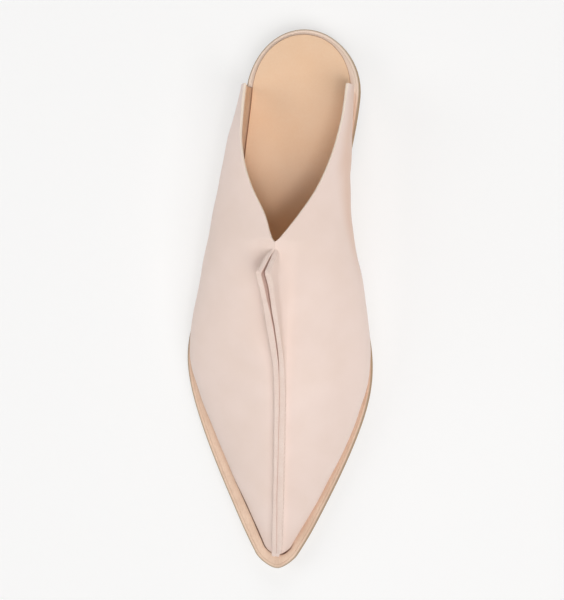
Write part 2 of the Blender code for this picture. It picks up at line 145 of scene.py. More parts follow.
# %% Plans: the outsole, and the feather edge where the upper stands on the welt
OUTSOLE_PLAN = Table(
    (LATERAL, MEDIAL),
    [
        (0, 7.3, 5.5),
        (16, 17.0, 14.7),
        (30, 24.5, 21.3),
        (45, 32.2, 27.85),
        (60, 39.3, 33.7),
        (75, 45.5, 38.6),
        (90, 50.3, 41.7),
        (103, 52.4, 42.1),
        (118, 51.3, 39.9),
        (145, 43.2, 31.5),
        (175, 34.2, 23.8),
        (200, 30.5, 24.3),
        (220, 29.4, 27.15),
        (240, 28.6, 28.95),
        (270, 28.0, 28.6),
    ],
)
FEATHER_PLAN = Table(
    (LATERAL, MEDIAL),
    [
        (7.5, 4.6, 4.2),
        (14, 7.6, 7.2),
        (26, 13.8, 13.4),
        (41, 21.6, 20.5),
        (56, 29.5, 27.1),
        (72, 36.7, 32.8),
        (88, 43.4, 36.9),
        (103, 47.2, 38.2),
        (118, 46.4, 36.0),
        (133, 42.6, 31.6),
        (148, 38.6, 27.2),
        (162, 34.4, 23.6),
        (176, 31.5, 21.4),
        (190, 29.6, 21.2),
        (205, 28.8, 22.6),
        (220, 27.8, 24.8),
        (239, 26.8, 25.7),
        (270, 26.6, 26.7),
    ],
)

# %% Sections: the widest line of the upper, its height above the feather, and the shoulders
LAST_SECTIONS = Table(
    (LATERAL, MEDIAL, "widest_rise", "lateral_shoulder", "medial_shoulder"),
    [
        (7.5, 4.9, 4.4, 1.0, 0.47, 0.47),
        (14, 7.9, 7.5, 1.8, 0.46, 0.54),
        (26, 14.2, 13.9, 2.6, 0.50, 0.58),
        (41, 22.3, 21.2, 3.4, 0.54, 0.64),
        (56, 30.4, 28.0, 4.2, 0.57, 0.69),
        (72, 37.8, 34.0, 5.2, 0.59, 0.73),
        (88, 44.8, 38.8, 6.4, 0.60, 0.76),
        (103, 49.3, 40.9, 8.2, 0.61, 0.77),
        (118, 49.2, 39.9, 11.0, 0.62, 0.76),
        (133, 46.7, 37.7, 14.5, 0.63, 0.75),
        (148, 44.1, 34.3, 17.5, 0.63, 0.72),
        (162, 41.2, 30.6, 19.5, 0.60, 0.66),
        (176, 38.95, 28.2, 20.5, 0.50, 0.58),
        (190, 36.8, 27.1, 20.5, 0.42, 0.50),
        (205, 34.4, 26.6, 19.5, 0.40, 0.46),
        (220, 31.8, 26.5, 18.0, 0.42, 0.45),
        (239, 28.8, 25.8, 16.0, 0.45, 0.45),
    ],
)
SEAM = Table(
    ("reach", "height"),
    [
        (7.5, 0.0, 16.0),
        (10, 0.0, 18.6),
        (14, 0.0, 20.8),
        (26, 0.0, 25.0),
        (41, -0.1, 29.8),
        (56, -0.25, 34.5),
        (72, -0.55, 39.2),
        (88, -0.95, 43.6),
        (103, -1.9, 48.0),
        (118, -3.15, 53.0),
        (133, -4.05, 58.6),
        (148, -5.0, 64.4),
        (159.5, -5.5, 68.5),
    ],
)
TOPLINE = Table(
    (LATERAL, MEDIAL, "height"),
    [
        (159.5, 5.5, -5.5, 68.5),
        (160.5, 6.65, -4.1, 68.25),
        (162, 7.5, -2.75, 67.7),
        (164.5, 8.55, -0.95, 66.75),
        (169, 10.05, 2.15, 64.9),
        (175, 12.85, 5.9, 62.6),
        (182, 16.95, 10.05, 60.0),
        (190, 20.8, 13.95, 57.5),
        (199, 23.9, 17.15, 55.1),
        (208, 25.75, 19.65, 53.1),
        (218, 26.4, 21.6, 51.5),
        (228, 26.35, 22.85, 50.5),
        (239, 26.1, 23.75, 50.0),
    ],
)
THROAT = 159.5
WING_END = 239.0

# %% [markdown]
# The two panels' edges turn up at the seam, and each turned-up edge is a ply. The plies' tops
# rise slowly from the toe, and near the throat they stand up as the fin, which leans to the
# outer side. A slit parts the plies along the fin. These edges are cut straight, so their
# tables are joined by straight runs.

# %% The raised seam, its fin and its slit
RIDGE = straight_table(
    ("height", "lean", "thickness", "ply_line"),
    [
        (7.5, 1.2, -0.2, 2.2, 0.0),
        (16, 2.6, 0.0, 2.5, -0.1),
        (39, 3.1, 0.0, 2.5, -0.6),
        (60, 3.4, 0.0, 2.5, -0.35),
        (90, 3.5, 0.0, 2.65, 0.0),
        (98, 3.7, 0.0, 2.7, 0.0),
        (104, 5.0, 0.0, 2.7, 0.0),
        (110, 6.4, -0.4, 2.7, 0.0),
        (119, 8.4, -1.3, 2.75, 0.0),
        (127, 10.2, -2.1, 2.7, 0.0),
        (134, 11.7, -2.85, 2.4, 0.0),
        (139, 12.8, -3.5, 2.5, 0.0),
        (144.5, 14.0, -4.6, 2.7, 0.0),
        (154.6, 1.9, -0.7, 2.2, 0.0),
        (155.7, 0.12, 0.0, 1.6, 0.0),
        (156.5, 0.05, 0.0, 0.12, 0.0),
        (159.5, 0.03, 0.0, 0.12, 0.0),
    ],
)
SLIT = straight_table(
    ("half_width", "shift", "foot_share"),
    [
        # foot_share: below this share of their height the plies touch
        (98, 0.0, 0.0, 0.8),
        (104, 0.12, 0.2, 0.8),
        (116, 0.24, 0.6, 0.8),
        (121.5, 0.28, 0.6, 0.8),
        (127.5, 0.35, 0.32, 0.8),
        (133, 0.72, 0.12, 0.8),
        (138.5, 0.88, 0.15, 0.8),
        (143.8, 0.84, 0.05, 0.75),
        (146, 0.45, 0.0, 0.3),
        (152, 0.3, 0.0, 0.1),
        (154, 0.0, 0.0, 0.1),
    ],
)
print("throat at", THROAT, "mm, wings end at", WING_END, "mm")

# %% [markdown]
# ## Camera, light and floor
# The camera looks down from 650 mm over the inner side of the shoe, as somebody standing over
# the pair would, and it is rolled by a few degrees. The main lamp is small and almost
# overhead, so that the wings and the fin shade the leather with a readable edge. Two broad ones
# stand high beyond the toe, and others fill from the heel and from both sides. The one on the
# inner side is low and warm, like light thrown back by the other shoe of the pair. The floor is
# made a few cells further down, once there are tools for finishes. It is plain and pale, and
# glows a little like a lit table, so that shadows stay faint. Far away it turns up like the rim
# of a dish, so that a low view meets no dark horizon.

# %% Camera
CAMERA_PLACE = Vector((0.0500, -0.0137, 0.650))
CAMERA_TARGET = Vector((0.0008, -0.0010, 0.020))
CAMERA_ROLL_UP = Vector((-0.0554, 0.9985, 0.0))
LENS_MM = 76.5


def new_object(name, data):
    """An object in the scene that shows a mesh, or is a lamp or a camera."""
    made = bpy.data.objects.new(name, data)
    bpy.context.scene.collection.objects.link(made)
    return made


def aim(thing, place, target, up):
    """Turns a camera or a lamp to its target; its own -Z looks along the line."""
    forward = (target - place).normalized()
    right = forward.cross(up).normalized()
    thing.matrix_world = Matrix.Translation(place) @ Matrix(
        (right, right.cross(forward), -forward)
    ).transposed().to_4x4()


camera = new_object("camera", bpy.data.cameras.new("camera"))
camera.data.lens = LENS_MM
camera.data.clip_start = 0.02
aim(camera, CAMERA_PLACE, CAMERA_TARGET, CAMERA_ROLL_UP)
bpy.context.scene.camera = camera
bpy.context.scene.view_settings.view_transform = "Standard"
print("camera", round(CAMERA_PLACE.z, 3), "m above the floor")

# %% Lamps and room
WHITE_LIGHT, WARM_LIGHT = (1.0, 0.995, 0.99), (1.0, 0.86, 0.8)
LAMPS = {
    # name: place, size, power, colour
    "main_lamp": ((0.27, -0.48, 1.6), 0.35, 4.8, WHITE_LIGHT),
    "front_lamp": ((0.0, -0.7, 1.6), 0.7, 3.8, WHITE_LIGHT),
    "key_lamp": ((0.6, -0.6, 1.4), 0.7, 8.0, WHITE_LIGHT),
    "heel_lamp": ((0.0, 1.0, 0.9), 0.8, 4.0, WHITE_LIGHT),
    "outer_lamp": ((-1.0, 0.0, 0.9), 0.8, 4.4, WHITE_LIGHT),
    "inner_lamp": ((1.0, 0.0, 0.45), 0.8, 1.2, WARM_LIGHT),
}
LAMP_UP = Vector((0.1, 1, 0))  # a direction that no lamp looks along
ROOM_LIGHT = 0.01

for name, (place, size, power, colour) in LAMPS.items():
    lamp = new_object(name, bpy.data.lights.new(name, "AREA"))
    lamp.data.size = size
    lamp.data.energy = power
    lamp.data.color = colour
    aim(lamp, Vector(place), Vector((0, 0, 0)), LAMP_UP)
print(len(LAMPS), "lamps")

room = bpy.data.worlds.new("room")
bpy.context.scene.world = room
room.use_nodes = True
room.node_tree.nodes["Background"].inputs["Color"].default_value = (1, 1, 1, 1)
room.node_tree.nodes["Background"].inputs["Strength"].default_value = ROOM_LIGHT

# %% [markdown]
# ## Shader maths as plain expressions
# A wire stands for one output socket. Adding or multiplying wires adds the Math node that does
# it, so a mask reads like the sentence that describes it. Colours and vectors go through Mix
# and Vector Math nodes, because a Math node would turn a colour grey.

# %% A wire and a graph
class Wire:
    """One output socket; an expression on wires adds its Math nodes."""

    def __init__(self, graph, socket):
        self.graph = graph
        self.socket = socket

    def math(self, operation, *values):
        return self.graph.wire("ShaderNodeMath", {"operation": operation}, dict(enumerate(values)))

    def __add__(self, other):
        return self.math("ADD", self, other)

    __radd__ = __add__

    def __mul__(self, other):
        return self.math("MULTIPLY", self, other)

    __rmul__ = __mul__

    def __sub__(self, other):
        return self.math("SUBTRACT", self, other)

    def __rsub__(self, other):
        return self.math("SUBTRACT", other, self)

    def __truediv__(self, other):
        return self.math("DIVIDE", self, other)

    def __pow__(self, other):
        return self.math("POWER", self, other)

    def above(self, low, high):
        """0 below low, 1 above high, and a soft step between them."""
        settings = {"interpolation_type": "SMOOTHSTEP"}
        inputs = {"Value": self, "From Min": low, "From Max": high}
        return self.graph.wire("ShaderNodeMapRange", settings, inputs, "Result")

    def below(self, low, high):
        """1 below low, 0 above high."""
        return 1 - self.above(low, high)


MIX_FIRST, MIX_SECOND, MIX_RESULT = 6, 7, 2  # by number: a Mix node has more sockets of each name


class Graph:
    """A node tree that is being built."""

    def __init__(self, tree):
        self.tree = tree

    def node(self, kind, settings=None, inputs=None):
        """One node: its settings come first, then the values or wires of its sockets."""
        made = self.tree.nodes.new(kind)
        for name, value in (settings or {}).items():
            setattr(made, name, value)
        for name, value in (inputs or {}).items():
            if isinstance(value, Wire):
                self.tree.links.new(value.socket, made.inputs[name])
            else:
                made.inputs[name].default_value = value
        return made

    def wire(self, kind, settings=None, inputs=None, output=0):
        """One node, and the wire that leaves it."""
        return Wire(self, self.node(kind, settings, inputs).outputs[output])

    def place(self):
        return self.wire("ShaderNodeTexCoord", output="Object")

    def attribute(self, name):
        return self.wire("ShaderNodeAttribute", {"attribute_name": name}, output="Fac")

    def noise(self, vector, scale, detail, roughness=0.5):
        inputs = {"Vector": vector, "Scale": scale, "Detail": detail, "Roughness": roughness}
        return self.wire("ShaderNodeTexNoise", None, inputs, "Fac")

    def cells(self, vector, scale):
        return self.wire("ShaderNodeTexVoronoi", None, {"Vector": vector, "Scale": scale}, "Distance")

    def stretched(self, vector, scale, turn=(0, 0, 0)):
        """Coordinates scaled unevenly, for fibres that run one way."""
        return self.wire("ShaderNodeMapping", None, {"Vector": vector, "Scale": scale, "Rotation": turn})

    def mix(self, share, first, second):
        """Two colours, or wires that carry colours, by share."""
        node = self.node("ShaderNodeMix", {"data_type": "RGBA"}, {0: share})
        for index, value in ((MIX_FIRST, first), (MIX_SECOND, second)):
            if isinstance(value, Wire):
                self.tree.links.new(value.socket, node.inputs[index])
            else:
                node.inputs[index].default_value = (*value, 1)
        return Wire(self, node.outputs[MIX_RESULT])


def srgb(red, green, blue):
    """A colour as a paint card gives it, 0 to 255, as the linear numbers that light uses."""

    def linear(value):
        value /= 255
        return value / 12.92 if value <= 0.04045 else ((value + 0.055) / 1.055) ** 2.4

    return linear(red), linear(green), linear(blue)


def start_material(name):
    """A fresh material with its graph and its Principled shader."""
    material = bpy.data.materials.new(name)
    material.use_nodes = True
    return material, Graph(material.node_tree), material.node_tree.nodes["Principled BSDF"]


def plug(graph, shader, **sockets):
    """Links wires to the shader's sockets, whose names are written with underscores."""
    for name, wire in sockets.items():
        graph.tree.links.new(wire.socket, shader.inputs[name.replace("_", " ")])


def bump(graph, height, distance, strength):
    """Relief for a Normal socket; distance is the relief's full depth in metres."""
    inputs = {"Height": height, "Distance": distance, "Strength": strength}
    return graph.wire("ShaderNodeBump", None, inputs)


# %% Floor
FLOOR_PAINT = (0.42, 0.42, 0.419, 1)
FLOOR_GLOW, FLOOR_GLOW_COLOUR = 0.58, (1, 1, 0.997, 1)
# radius and height of each ring, in metres
FLOOR_RINGS = [(4.0, 0.0), (6.0, 0.03), (8.0, 0.14), (10.0, 0.36), (12.0, 0.7), (14.0, 1.2)]
FLOOR_CORNERS = 64


def make_floor():
    """A disc that is level as far as its first ring, with rings that rise round it."""
    material, graph, shader = start_material("pale_floor")
    shader.inputs["Base Color"].default_value = FLOOR_PAINT
    shader.inputs["Emission Color"].default_value = FLOOR_GLOW_COLOUR
    shader.inputs["Emission Strength"].default_value = FLOOR_GLOW
    shader.inputs["Roughness"].default_value = 0.9
    shader.inputs["Specular IOR Level"].default_value = 0.1
    turns = [2 * math.pi * k / FLOOR_CORNERS for k in range(FLOOR_CORNERS)]
    circle = [(math.cos(turn), math.sin(turn)) for turn in turns]
    places = [(radius * x, radius * y, height) for radius, height in FLOOR_RINGS for x, y in circle]
    faces = [tuple(range(FLOOR_CORNERS))]
    for ring in range(len(FLOOR_RINGS) - 1):
        first = ring * FLOOR_CORNERS
        for k in range(FLOOR_CORNERS):
            near, far = first + k, first + (k + 1) % FLOOR_CORNERS
            faces.append((near, near + FLOOR_CORNERS, far + FLOOR_CORNERS, far))
    mesh = bpy.data.meshes.new("floor")
    mesh.from_pydata(places, [], faces)
    mesh.shade_smooth()
    mesh.materials.append(material)
    floor = new_object("floor", mesh)
    print("floor of", len(faces), "faces")


make_floor()

# %% [markdown]
# ## Leathers
# Smooth calf has almost no pattern: a very fine grain that only breaks the highlights, a slow
# drift of tone from the tannage, and a painted warm shade near the foot. The lower inner flank
# has a painted shade a little darker, behind the ball. The cut edges are another matter, because
# they show the fibres of the hide. The tan insole and the welt are vegetable-tanned leather,
# warmer and harder, with an edge that is trimmed and burnished. The insole has a painted warm
# shade towards the toes, and the welt has painted light behind the wings and painted shade
# beside the upper.

# %% Blush leather of the two panels
def make_blush_leather():
    """Smooth and pale; the grain and the pores only break the highlights."""
    material, graph, shader = start_material("blush_leather")
    place = graph.place()
    drift = graph.noise(place, 22.0, 2.0)
    cloud = graph.noise(place, 90.0, 3.0)
    tone = drift * 0.6 + cloud * 0.4
    colour = graph.mix(tone.above(0.3, 0.7), srgb(251, 229, 217), srgb(255, 234, 224))
    foot = graph.attribute("from_foot")
    # painted warm shade near the foot, where the flank turns away from the light
    colour = graph.mix(foot.below(0.0, 12.0) * 0.4, colour, srgb(238, 203, 186))
    # painted shade, a little darker, on the lower inner flank behind the ball
    colour = graph.mix(graph.attribute("flank_shade"), colour, srgb(244, 213, 195))
    grain = graph.cells(place, 1500.0)
    pores = graph.noise(place, 2600.0, 2.0)
    ripple = graph.noise(place, 240.0, 3.0, 0.55)
    height = grain * 0.45 + pores * 0.35 + ripple * 0.8
    rough = 0.50 + (cloud - 0.5) * 0.12 + (pores - 0.5) * 0.06
    plug(graph, shader, Base_Color=colour, Roughness=rough, Normal=bump(graph, height, 0.00006, 0.35))
    shader.inputs["Specular IOR Level"].default_value = 0.38
    return material


# %% Cut edges, flesh side and lining
def make_fibre_leather(name, pale, deep, scale, rough=0.8, line=None):
    """Leather seen at a cut or from its back: short fibres, no finish, and a line where cuts meet."""
    material, graph, shader = start_material(name)
    place = graph.place()
    fibres = graph.noise(graph.stretched(place, (1, 1, 3)), scale, 4.0, 0.65)
    patches = graph.noise(place, 160.0, 2.0)
    colour = graph.mix((fibres * 0.6 + patches * 0.4).above(0.32, 0.68), deep, pale)
    if line:
        colour = graph.mix(graph.attribute("mating_line").above(0.3, 0.9) * 0.6, colour, line)
    plug(graph, shader, Base_Color=colour, Normal=bump(graph, fibres, 0.0001, 0.4))
    shader.inputs["Roughness"].default_value = rough
    shader.inputs["Specular IOR Level"].default_value = 0.25
    return material


def make_cut_edge():
    pale, deep, line = srgb(251, 231, 220), srgb(244, 220, 208), srgb(208, 164, 148)
    return make_fibre_leather("cut_edge", pale, deep, 1400.0, line=line)


def make_topline_edge():
    return make_fibre_leather("topline_edge", srgb(255, 242, 226), srgb(251, 232, 214), 1400.0)


def make_flesh_side():
    return make_fibre_leather("flesh_side", srgb(228, 202, 190), srgb(210, 182, 170), 900.0)


def make_lining_leather():
    return make_fibre_leather("lining_leather", srgb(240, 208, 178), srgb(228, 194, 164), 700.0, 0.6)


blush_leather = make_blush_leather()
cut_edge = make_cut_edge()
topline_edge = make_topline_edge()
flesh_side = make_flesh_side()
lining_leather = make_lining_leather()
print("leathers of the upper made")

# %% Tanned leathers of the stack
PAINTED_WARMTH_STATIONS = (160.0, 206.0)  # painted warm shade: the insole takes it fully as far as the first, and none from the second
PAINTED_SHADE_STATIONS = (150.0, 180.0)  # and a deeper painted shade in front of the throat


def make_insole_leather():
    """Smooth and tan, with a painted warm shade towards the toes, and a darker rim at the trimmed edge that
    also paints the shade beside the lining.
    """
    material, graph, shader = start_material("insole_leather")
    place = graph.place()
    drift = graph.noise(place, 16.0, 2.0)
    cloud = graph.noise(place, 70.0, 3.0)
    fine = graph.noise(place, 900.0, 3.0)
    tone = drift * 0.5 + cloud * 0.3 + fine * 0.2
    colour = graph.mix(tone.above(0.35, 0.65), srgb(248, 208, 171), srgb(252, 217, 184))
    along = graph.wire("ShaderNodeSeparateXYZ", None, {"Vector": place}, "Y")
    station = (along - cad_low.y) / MM
    # painted warm shade towards the toes, and a deeper painted shade in front of the throat
    colour = graph.mix(station.below(*PAINTED_WARMTH_STATIONS) * 0.9, colour, srgb(253, 207, 160))
    colour = graph.mix(station.below(*PAINTED_SHADE_STATIONS) * 0.6, colour, srgb(232, 180, 132))
    # a darker rim at the trimmed edge, which also paints the shade in the crevice beside the lining
    rim = graph.attribute("from_edge")
    colour = graph.mix(rim.below(0.1, 0.45), colour, srgb(196, 148, 112))
    grain = graph.cells(place, 1100.0)
    height = grain * 0.4 + fine * 0.6
    rough = 0.42 + (cloud - 0.5) * 0.15
    plug(graph, shader, Base_Color=colour, Roughness=rough, Normal=bump(graph, height, 0.00005, 0.3))
    return material


def make_welt_leather():
    """Pale and fibrous on top, a fine crease beside the trimmed edge, grey-olive on the edge, with painted
    light behind the wings and painted shade in the crease, beside the upper and in the toe's gap.
    """
    material, graph, shader = start_material("welt_leather")
    place = graph.place()
    edge = graph.attribute("from_edge")
    crevice = graph.attribute("from_upper")
    opening = graph.attribute("opening")
    behind = graph.attribute("behind_wings")
    fibres = graph.noise(graph.stretched(place, (1, 0.35, 1), (0, 0, 0.5)), 1500.0, 4.0, 0.7)
    cloud = graph.noise(place, 110.0, 3.0)
    tone = fibres * 0.55 + cloud * 0.45
    colour = graph.mix(tone.above(0.35, 0.65), srgb(232, 200, 175), srgb(245, 216, 192))
    # painted light: the welt is paler behind the wings, where the heel's rim lies
    colour = graph.mix(behind * 0.8, colour, srgb(252, 232, 216))
    colour = graph.mix(edge.below(0.35, 0.9) * 0.8, colour, srgb(208, 184, 162))
    colour = graph.mix(edge.below(0.2, 0.6) * 0.9, colour, srgb(176, 155, 128))
    line = edge.above(1.45, 1.6) * edge.below(1.75, 1.95)
    # painted shade in the crease beside the trimmed edge, which the bump also sinks
    colour = graph.mix(line * 0.28, colour, srgb(188, 150, 116))
    # painted shade on the welt beside the upper
    colour = graph.mix(crevice.below(0.5, 2.2) * 0.28, colour, srgb(206, 154, 120))
    # a painted shadow in the gap where the upper's toe stands off the welt
    wobble = (cloud - 0.5) * 0.5
    gap = (crevice + wobble).below(0.7, 1.15) * opening
    colour = graph.mix(gap, colour, srgb(96, 56, 36))
    height = fibres * 0.6 + cloud * 0.4 - line * 0.8
    plug(graph, shader, Base_Color=colour, Normal=bump(graph, height, 0.00012, 0.45))
    shader.inputs["Roughness"].default_value = 0.62
    return material


def make_edge_leather(name, pale, deep, layer_mm):
    """A trimmed and waxed edge: fine level lines where the leather's layers end, layer_mm apart."""
    material, graph, shader = start_material(name)
    place = graph.place()
    layers = graph.noise(graph.stretched(place, (1, 1, 12)), 1000.0 / (layer_mm * 12), 3.0, 0.6)
    scuffs = graph.noise(graph.stretched(place, (1, 0.3, 1)), 260.0, 4.0, 0.65)
    cloud = graph.noise(place, 40.0, 2.0)
    tone = layers * 0.5 + scuffs * 0.25 + cloud * 0.25
    colour = graph.mix(tone.above(0.35, 0.65), deep, pale)
    plug(graph, shader, Base_Color=colour, Roughness=0.5 + (scuffs - 0.5) * 0.3)
    plug(graph, shader, Normal=bump(graph, layers + scuffs, 0.00008, 0.35))
    return material


def make_heel_rubber():
    """Dark, speckled and scuffed."""
    material, graph, shader = start_material("heel_rubber")
    place = graph.place()
    speckle = graph.noise(place, 1200.0, 3.0, 0.7)
    scuffs = graph.noise(graph.stretched(place, (1, 0.25, 1)), 180.0, 4.0, 0.7)
    colour = graph.mix((speckle * 0.5 + scuffs * 0.5).above(0.35, 0.7), srgb(52, 46, 42), srgb(88, 80, 74))
    plug(graph, shader, Base_Color=colour, Normal=bump(graph, speckle, 0.00012, 0.5))
    shader.inputs["Roughness"].default_value = 0.75
    return material


insole_leather = make_insole_leather()
welt_leather = make_welt_leather()
sole_leather = make_edge_leather("sole_leather", srgb(194, 165, 131), srgb(170, 140, 108), 0.9)
lift_leather = make_edge_leather("lift_leather", srgb(186, 149, 112), srgb(152, 117, 85), 0.8)
heel_rubber = make_heel_rubber()
print("leathers of the stack made")

# %% [markdown]
# ## Geometry Nodes: bending a flat layer to the last
# The insole, the welt and the outsole are cut flat and take their bend when they are pressed
# to the last. Their shape follows one rule: the toe springs off the floor by a power curve,
# the tread lies flat, and the waist rises to the heel seat by a smooth step. A node tree holds
# the rule, with an input for each size, and each flat layer goes through it.

# %% The bending tree
TOE_SPRING, TOE_SPRING_END, TOE_SPRING_CURVE = 7.0, 75.0, 1.8
TREAD_END, HEEL_SEAT_START = 125.0, 212.0
BEND_SIZES = {
    "Toe place": cad_low.y,
    "Toe spring": TOE_SPRING,
    "Spring end": TOE_SPRING_END,
    "Spring curve": TOE_SPRING_CURVE,
    "Tread end": TREAD_END,
    "Heel seat start": HEEL_SEAT_START,
    "Heel height": HEEL_HEIGHT,
}


def new_tree(name, sizes):
    """A geometry tree with an input for each named size, and one for the material."""
    tree = bpy.data.node_groups.new(name, "GeometryNodeTree")
    tree.interface.new_socket("Geometry", in_out="INPUT", socket_type="NodeSocketGeometry")
    for size, value in sizes.items():
        tree.interface.new_socket(size, in_out="INPUT", socket_type="NodeSocketFloat").default_value = value
    tree.interface.new_socket("Material", in_out="INPUT", socket_type="NodeSocketMaterial")
    tree.interface.new_socket("Geometry", in_out="OUTPUT", socket_type="NodeSocketGeometry")
    graph = Graph(tree)
    entry = graph.node("NodeGroupInput")
    given = {socket.name: Wire(graph, socket) for socket in entry.outputs if socket.name}
    return graph, given


def end_tree(graph, geometry, material):
    """Real geometry with its material, as every tree here ends."""
    real = graph.wire("GeometryNodeRealizeInstances", None, {"Geometry": geometry})
    done = graph.wire("GeometryNodeSetMaterial", None, {"Geometry": real, "Material": material})
    graph.node("NodeGroupOutput", None, {"Geometry": done})
    return graph.tree


def make_bend_tree():
    """Lifts each point by the toe spring and the waist's rise at its station."""
    graph, given = new_tree("bend_to_last", BEND_SIZES)
    position = graph.wire("GeometryNodeInputPosition")
    along = graph.wire("ShaderNodeSeparateXYZ", None, {"Vector": position}, "Y")
    station = (along - given["Toe place"]) / MM
    front = 1 - station / given["Spring end"]
    spring = given["Toe spring"] * front.math("MAXIMUM", front, 0.0) ** given["Spring curve"]
    waist = station.above(given["Tread end"], given["Heel seat start"]) * given["Heel height"]
    lift = graph.wire("ShaderNodeCombineXYZ", None, {"Z": (spring + waist) * MM})
    moved = graph.wire("GeometryNodeSetPosition", None, {"Geometry": given["Geometry"], "Offset": lift})
    return end_tree(graph, moved, given["Material"])


def run_tree(thing, tree, material):
    """Runs a tree on an object and returns the plain mesh object that comes out of it."""
    modifier = thing.modifiers.new("tree", "NODES")
    modifier.node_group = tree
    modifier[tree.interface.items_tree["Material"].identifier] = material
    thing.update_tag()
    bpy.context.view_layer.update()
    evaluated = thing.evaluated_get(bpy.context.evaluated_depsgraph_get())
    name = thing.name
    mesh = bpy.data.meshes.new_from_object(evaluated)
    mesh.name = name
    bpy.data.objects.remove(thing)
    return new_object(name, mesh)


bend_tree = make_bend_tree()
print("bending tree with", len(BEND_SIZES), "sizes")

# %% The same rule in Python, for pieces that stand on the layers
def smooth_rise(value, low, high):
    """0 below low, 1 above high, and a soft step between them."""
    share = min(1.0, max(0.0, (value - low) / (high - low)))
    return share * share * (3 - 2 * share)


def smooth_fall(value, low, high):
    return 1 - smooth_rise(value, low, high)


def tread_height(station):
    """How far the outsole's underside lies above the floor."""
    spring = max(0.0, 1 - station / TOE_SPRING_END) ** TOE_SPRING_CURVE
    return TOE_SPRING * spring + HEEL_HEIGHT * smooth_rise(station, TREAD_END, HEEL_SEAT_START)


print("heel seat", round(tread_height(SHOE_LENGTH), 2), "mm above the floor")

# %% [markdown]
# ## Outlines
# Each layer's plan is a table of half widths with elliptic ends. Its trimmed edge is a stack of
# closed loops: the outline moved inward by a little at each height, which rounds or bevels it.
# The upper's feather edge and its widest line are outlines too, with a rounded front only.

# %% A plan with rounded ends
STATION_STEP = 2.0
END_STATIONS = 16  # on each rounded end, closer together towards its tip


class Outline:
    """Half widths beside the long axis between two stations, with elliptic ends."""

    def __init__(self, plan, front, back, front_round, back_round):
        self.plan = plan
        self.front, self.back = front, back
        self.front_round, self.back_round = front_round, back_round

    def half_width(self, side, station):
        front = min(1.0, max(0.0, (station - self.front) / self.front_round))
        back = min(1.0, max(0.0, (self.back - station) / self.back_round))
        ends = math.sqrt(1 - (1 - front) ** 2) * math.sqrt(1 - (1 - back) ** 2)
        return self.plan.at(side, station) * ends

    def stations(self):
        """Evenly spaced along the sides, and closer together round the ends."""
        turns = [math.pi / 2 * i / END_STATIONS for i in range(END_STATIONS + 1)]
        first, last = self.front + self.front_round, self.back - self.back_round
        count = round((last - first) / STATION_STEP)
        rows = [self.front + self.front_round * (1 - math.cos(turn)) for turn in turns[:-1]]
        rows += [first + (last - first) * i / count for i in range(count)]
        return rows + [last + self.back_round * math.sin(turn) for turn in turns]

    def loop(self):
        """The closed outline as (reach, station) points: tip, lateral side, heel, medial side."""
        rows = self.stations()
        lateral = [(-self.half_width(LATERAL, s), s) for s in rows]
        medial = [(self.half_width(MEDIAL, s), s) for s in rows[1:-1]]
        return np.array(lateral + medial[::-1])


# %% The outlines of this shoe
TOE_ROUND, HEEL_ROUND = 7, 33
UPPER_FRONT, UPPER_TOE_ROUND = 7.5, 4.5
NO_END = 2 * SHOE_LENGTH  # the upper's outlines don't close at the back, where its wings end
BALL_STATIONS = range(80, 130)

OUTSOLE_OUTLINE = Outline(OUTSOLE_PLAN, 0, SHOE_LENGTH, TOE_ROUND, HEEL_ROUND)
FEATHER_OUTLINE = Outline(FEATHER_PLAN, UPPER_FRONT, NO_END, UPPER_TOE_ROUND, HEEL_ROUND)
WIDEST_OUTLINE = Outline(LAST_SECTIONS, UPPER_FRONT, NO_END, UPPER_TOE_ROUND, HEEL_ROUND)
INSOLE_BASE = Outline(FEATHER_PLAN, front=12.1, back=268.4, front_round=4, back_round=30)

widest_lateral = max(OUTSOLE_OUTLINE.half_width(LATERAL, s) for s in BALL_STATIONS)
CENTRE_SHIFT = widest_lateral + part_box("outsole")[0].x / MM
print("long axis lies", round(CENTRE_SHIFT, 2), "mm to the inner side of the middle")


def point(reach, station, height):
    """Millimetres in the shoe's own measures to metres in the frame."""
    return (reach + CENTRE_SHIFT) * MM, cad_low.y + station * MM, height * MM


# %% Moving a loop inward, and distances to a line
def moved_in(loop, inset):
    """A closed loop moved inward, square to itself."""
    along = np.roll(loop, -1, axis=0) - np.roll(loop, 1, axis=0)
    aside = np.stack((-along[:, 1], along[:, 0]), axis=1) / np.hypot(*along.T)[:, None]
    leads_in = ((loop.mean(axis=0) - loop) * aside).sum() > 0
    return loop + inset * (aside if leads_in else -aside)


def distance_to(places, loop):
    """The distance from each place to the nearest stretch of an open or closed polyline."""
    start, end = loop[:-1], loop[1:]
    run = end - start
    share = ((places[:, None] - start) * run).sum(2) / np.maximum((run**2).sum(1), TINY)
    nearest = start + np.clip(share, 0, 1)[..., None] * run
    return np.hypot(*(places[:, None] - nearest).transpose(2, 0, 1)).min(1)


# %% [markdown]
# ## Lofting
# A loft joins rings of equal count. Every piece of leather and rubber here is one, because each
# is a section that changes slowly along the shoe. The loft also keeps named numbers at its
# points, which the finishes read as attributes.

# %% Helpers of a loft
MERGE_DISTANCE = 1e-6  # metres
SHARP_ANGLE = math.radians(48)


def face_outward(mesh_data):
    """Turns the faces one way, and then out: a closed skin that faces in has a negative volume."""
    bmesh.ops.recalc_face_normals(mesh_data, faces=mesh_data.faces)
    if mesh_data.calc_volume(signed=True) < 0:
        bmesh.ops.reverse_faces(mesh_data, faces=mesh_data.faces)


def close_ring(mesh_data, row, slot):
    """A cap of quads between the two halves of a ring, folded like a zip."""
    count = len(row)
    for j in range(count // 2 - 1):
        corners = [row[j], row[j + 1], row[count - 2 - j], row[count - 1 - j]]
        mesh_data.faces.new(corners).material_index = slot


def soften(mesh):
    """Shades a mesh smooth, apart from its sharp corners."""
    mesh.shade_smooth()
    mesh.set_sharp_from_angle(angle=SHARP_ANGLE)


def triangles(piece):
    return sum(len(face.vertices) - 2 for face in piece.data.polygons)


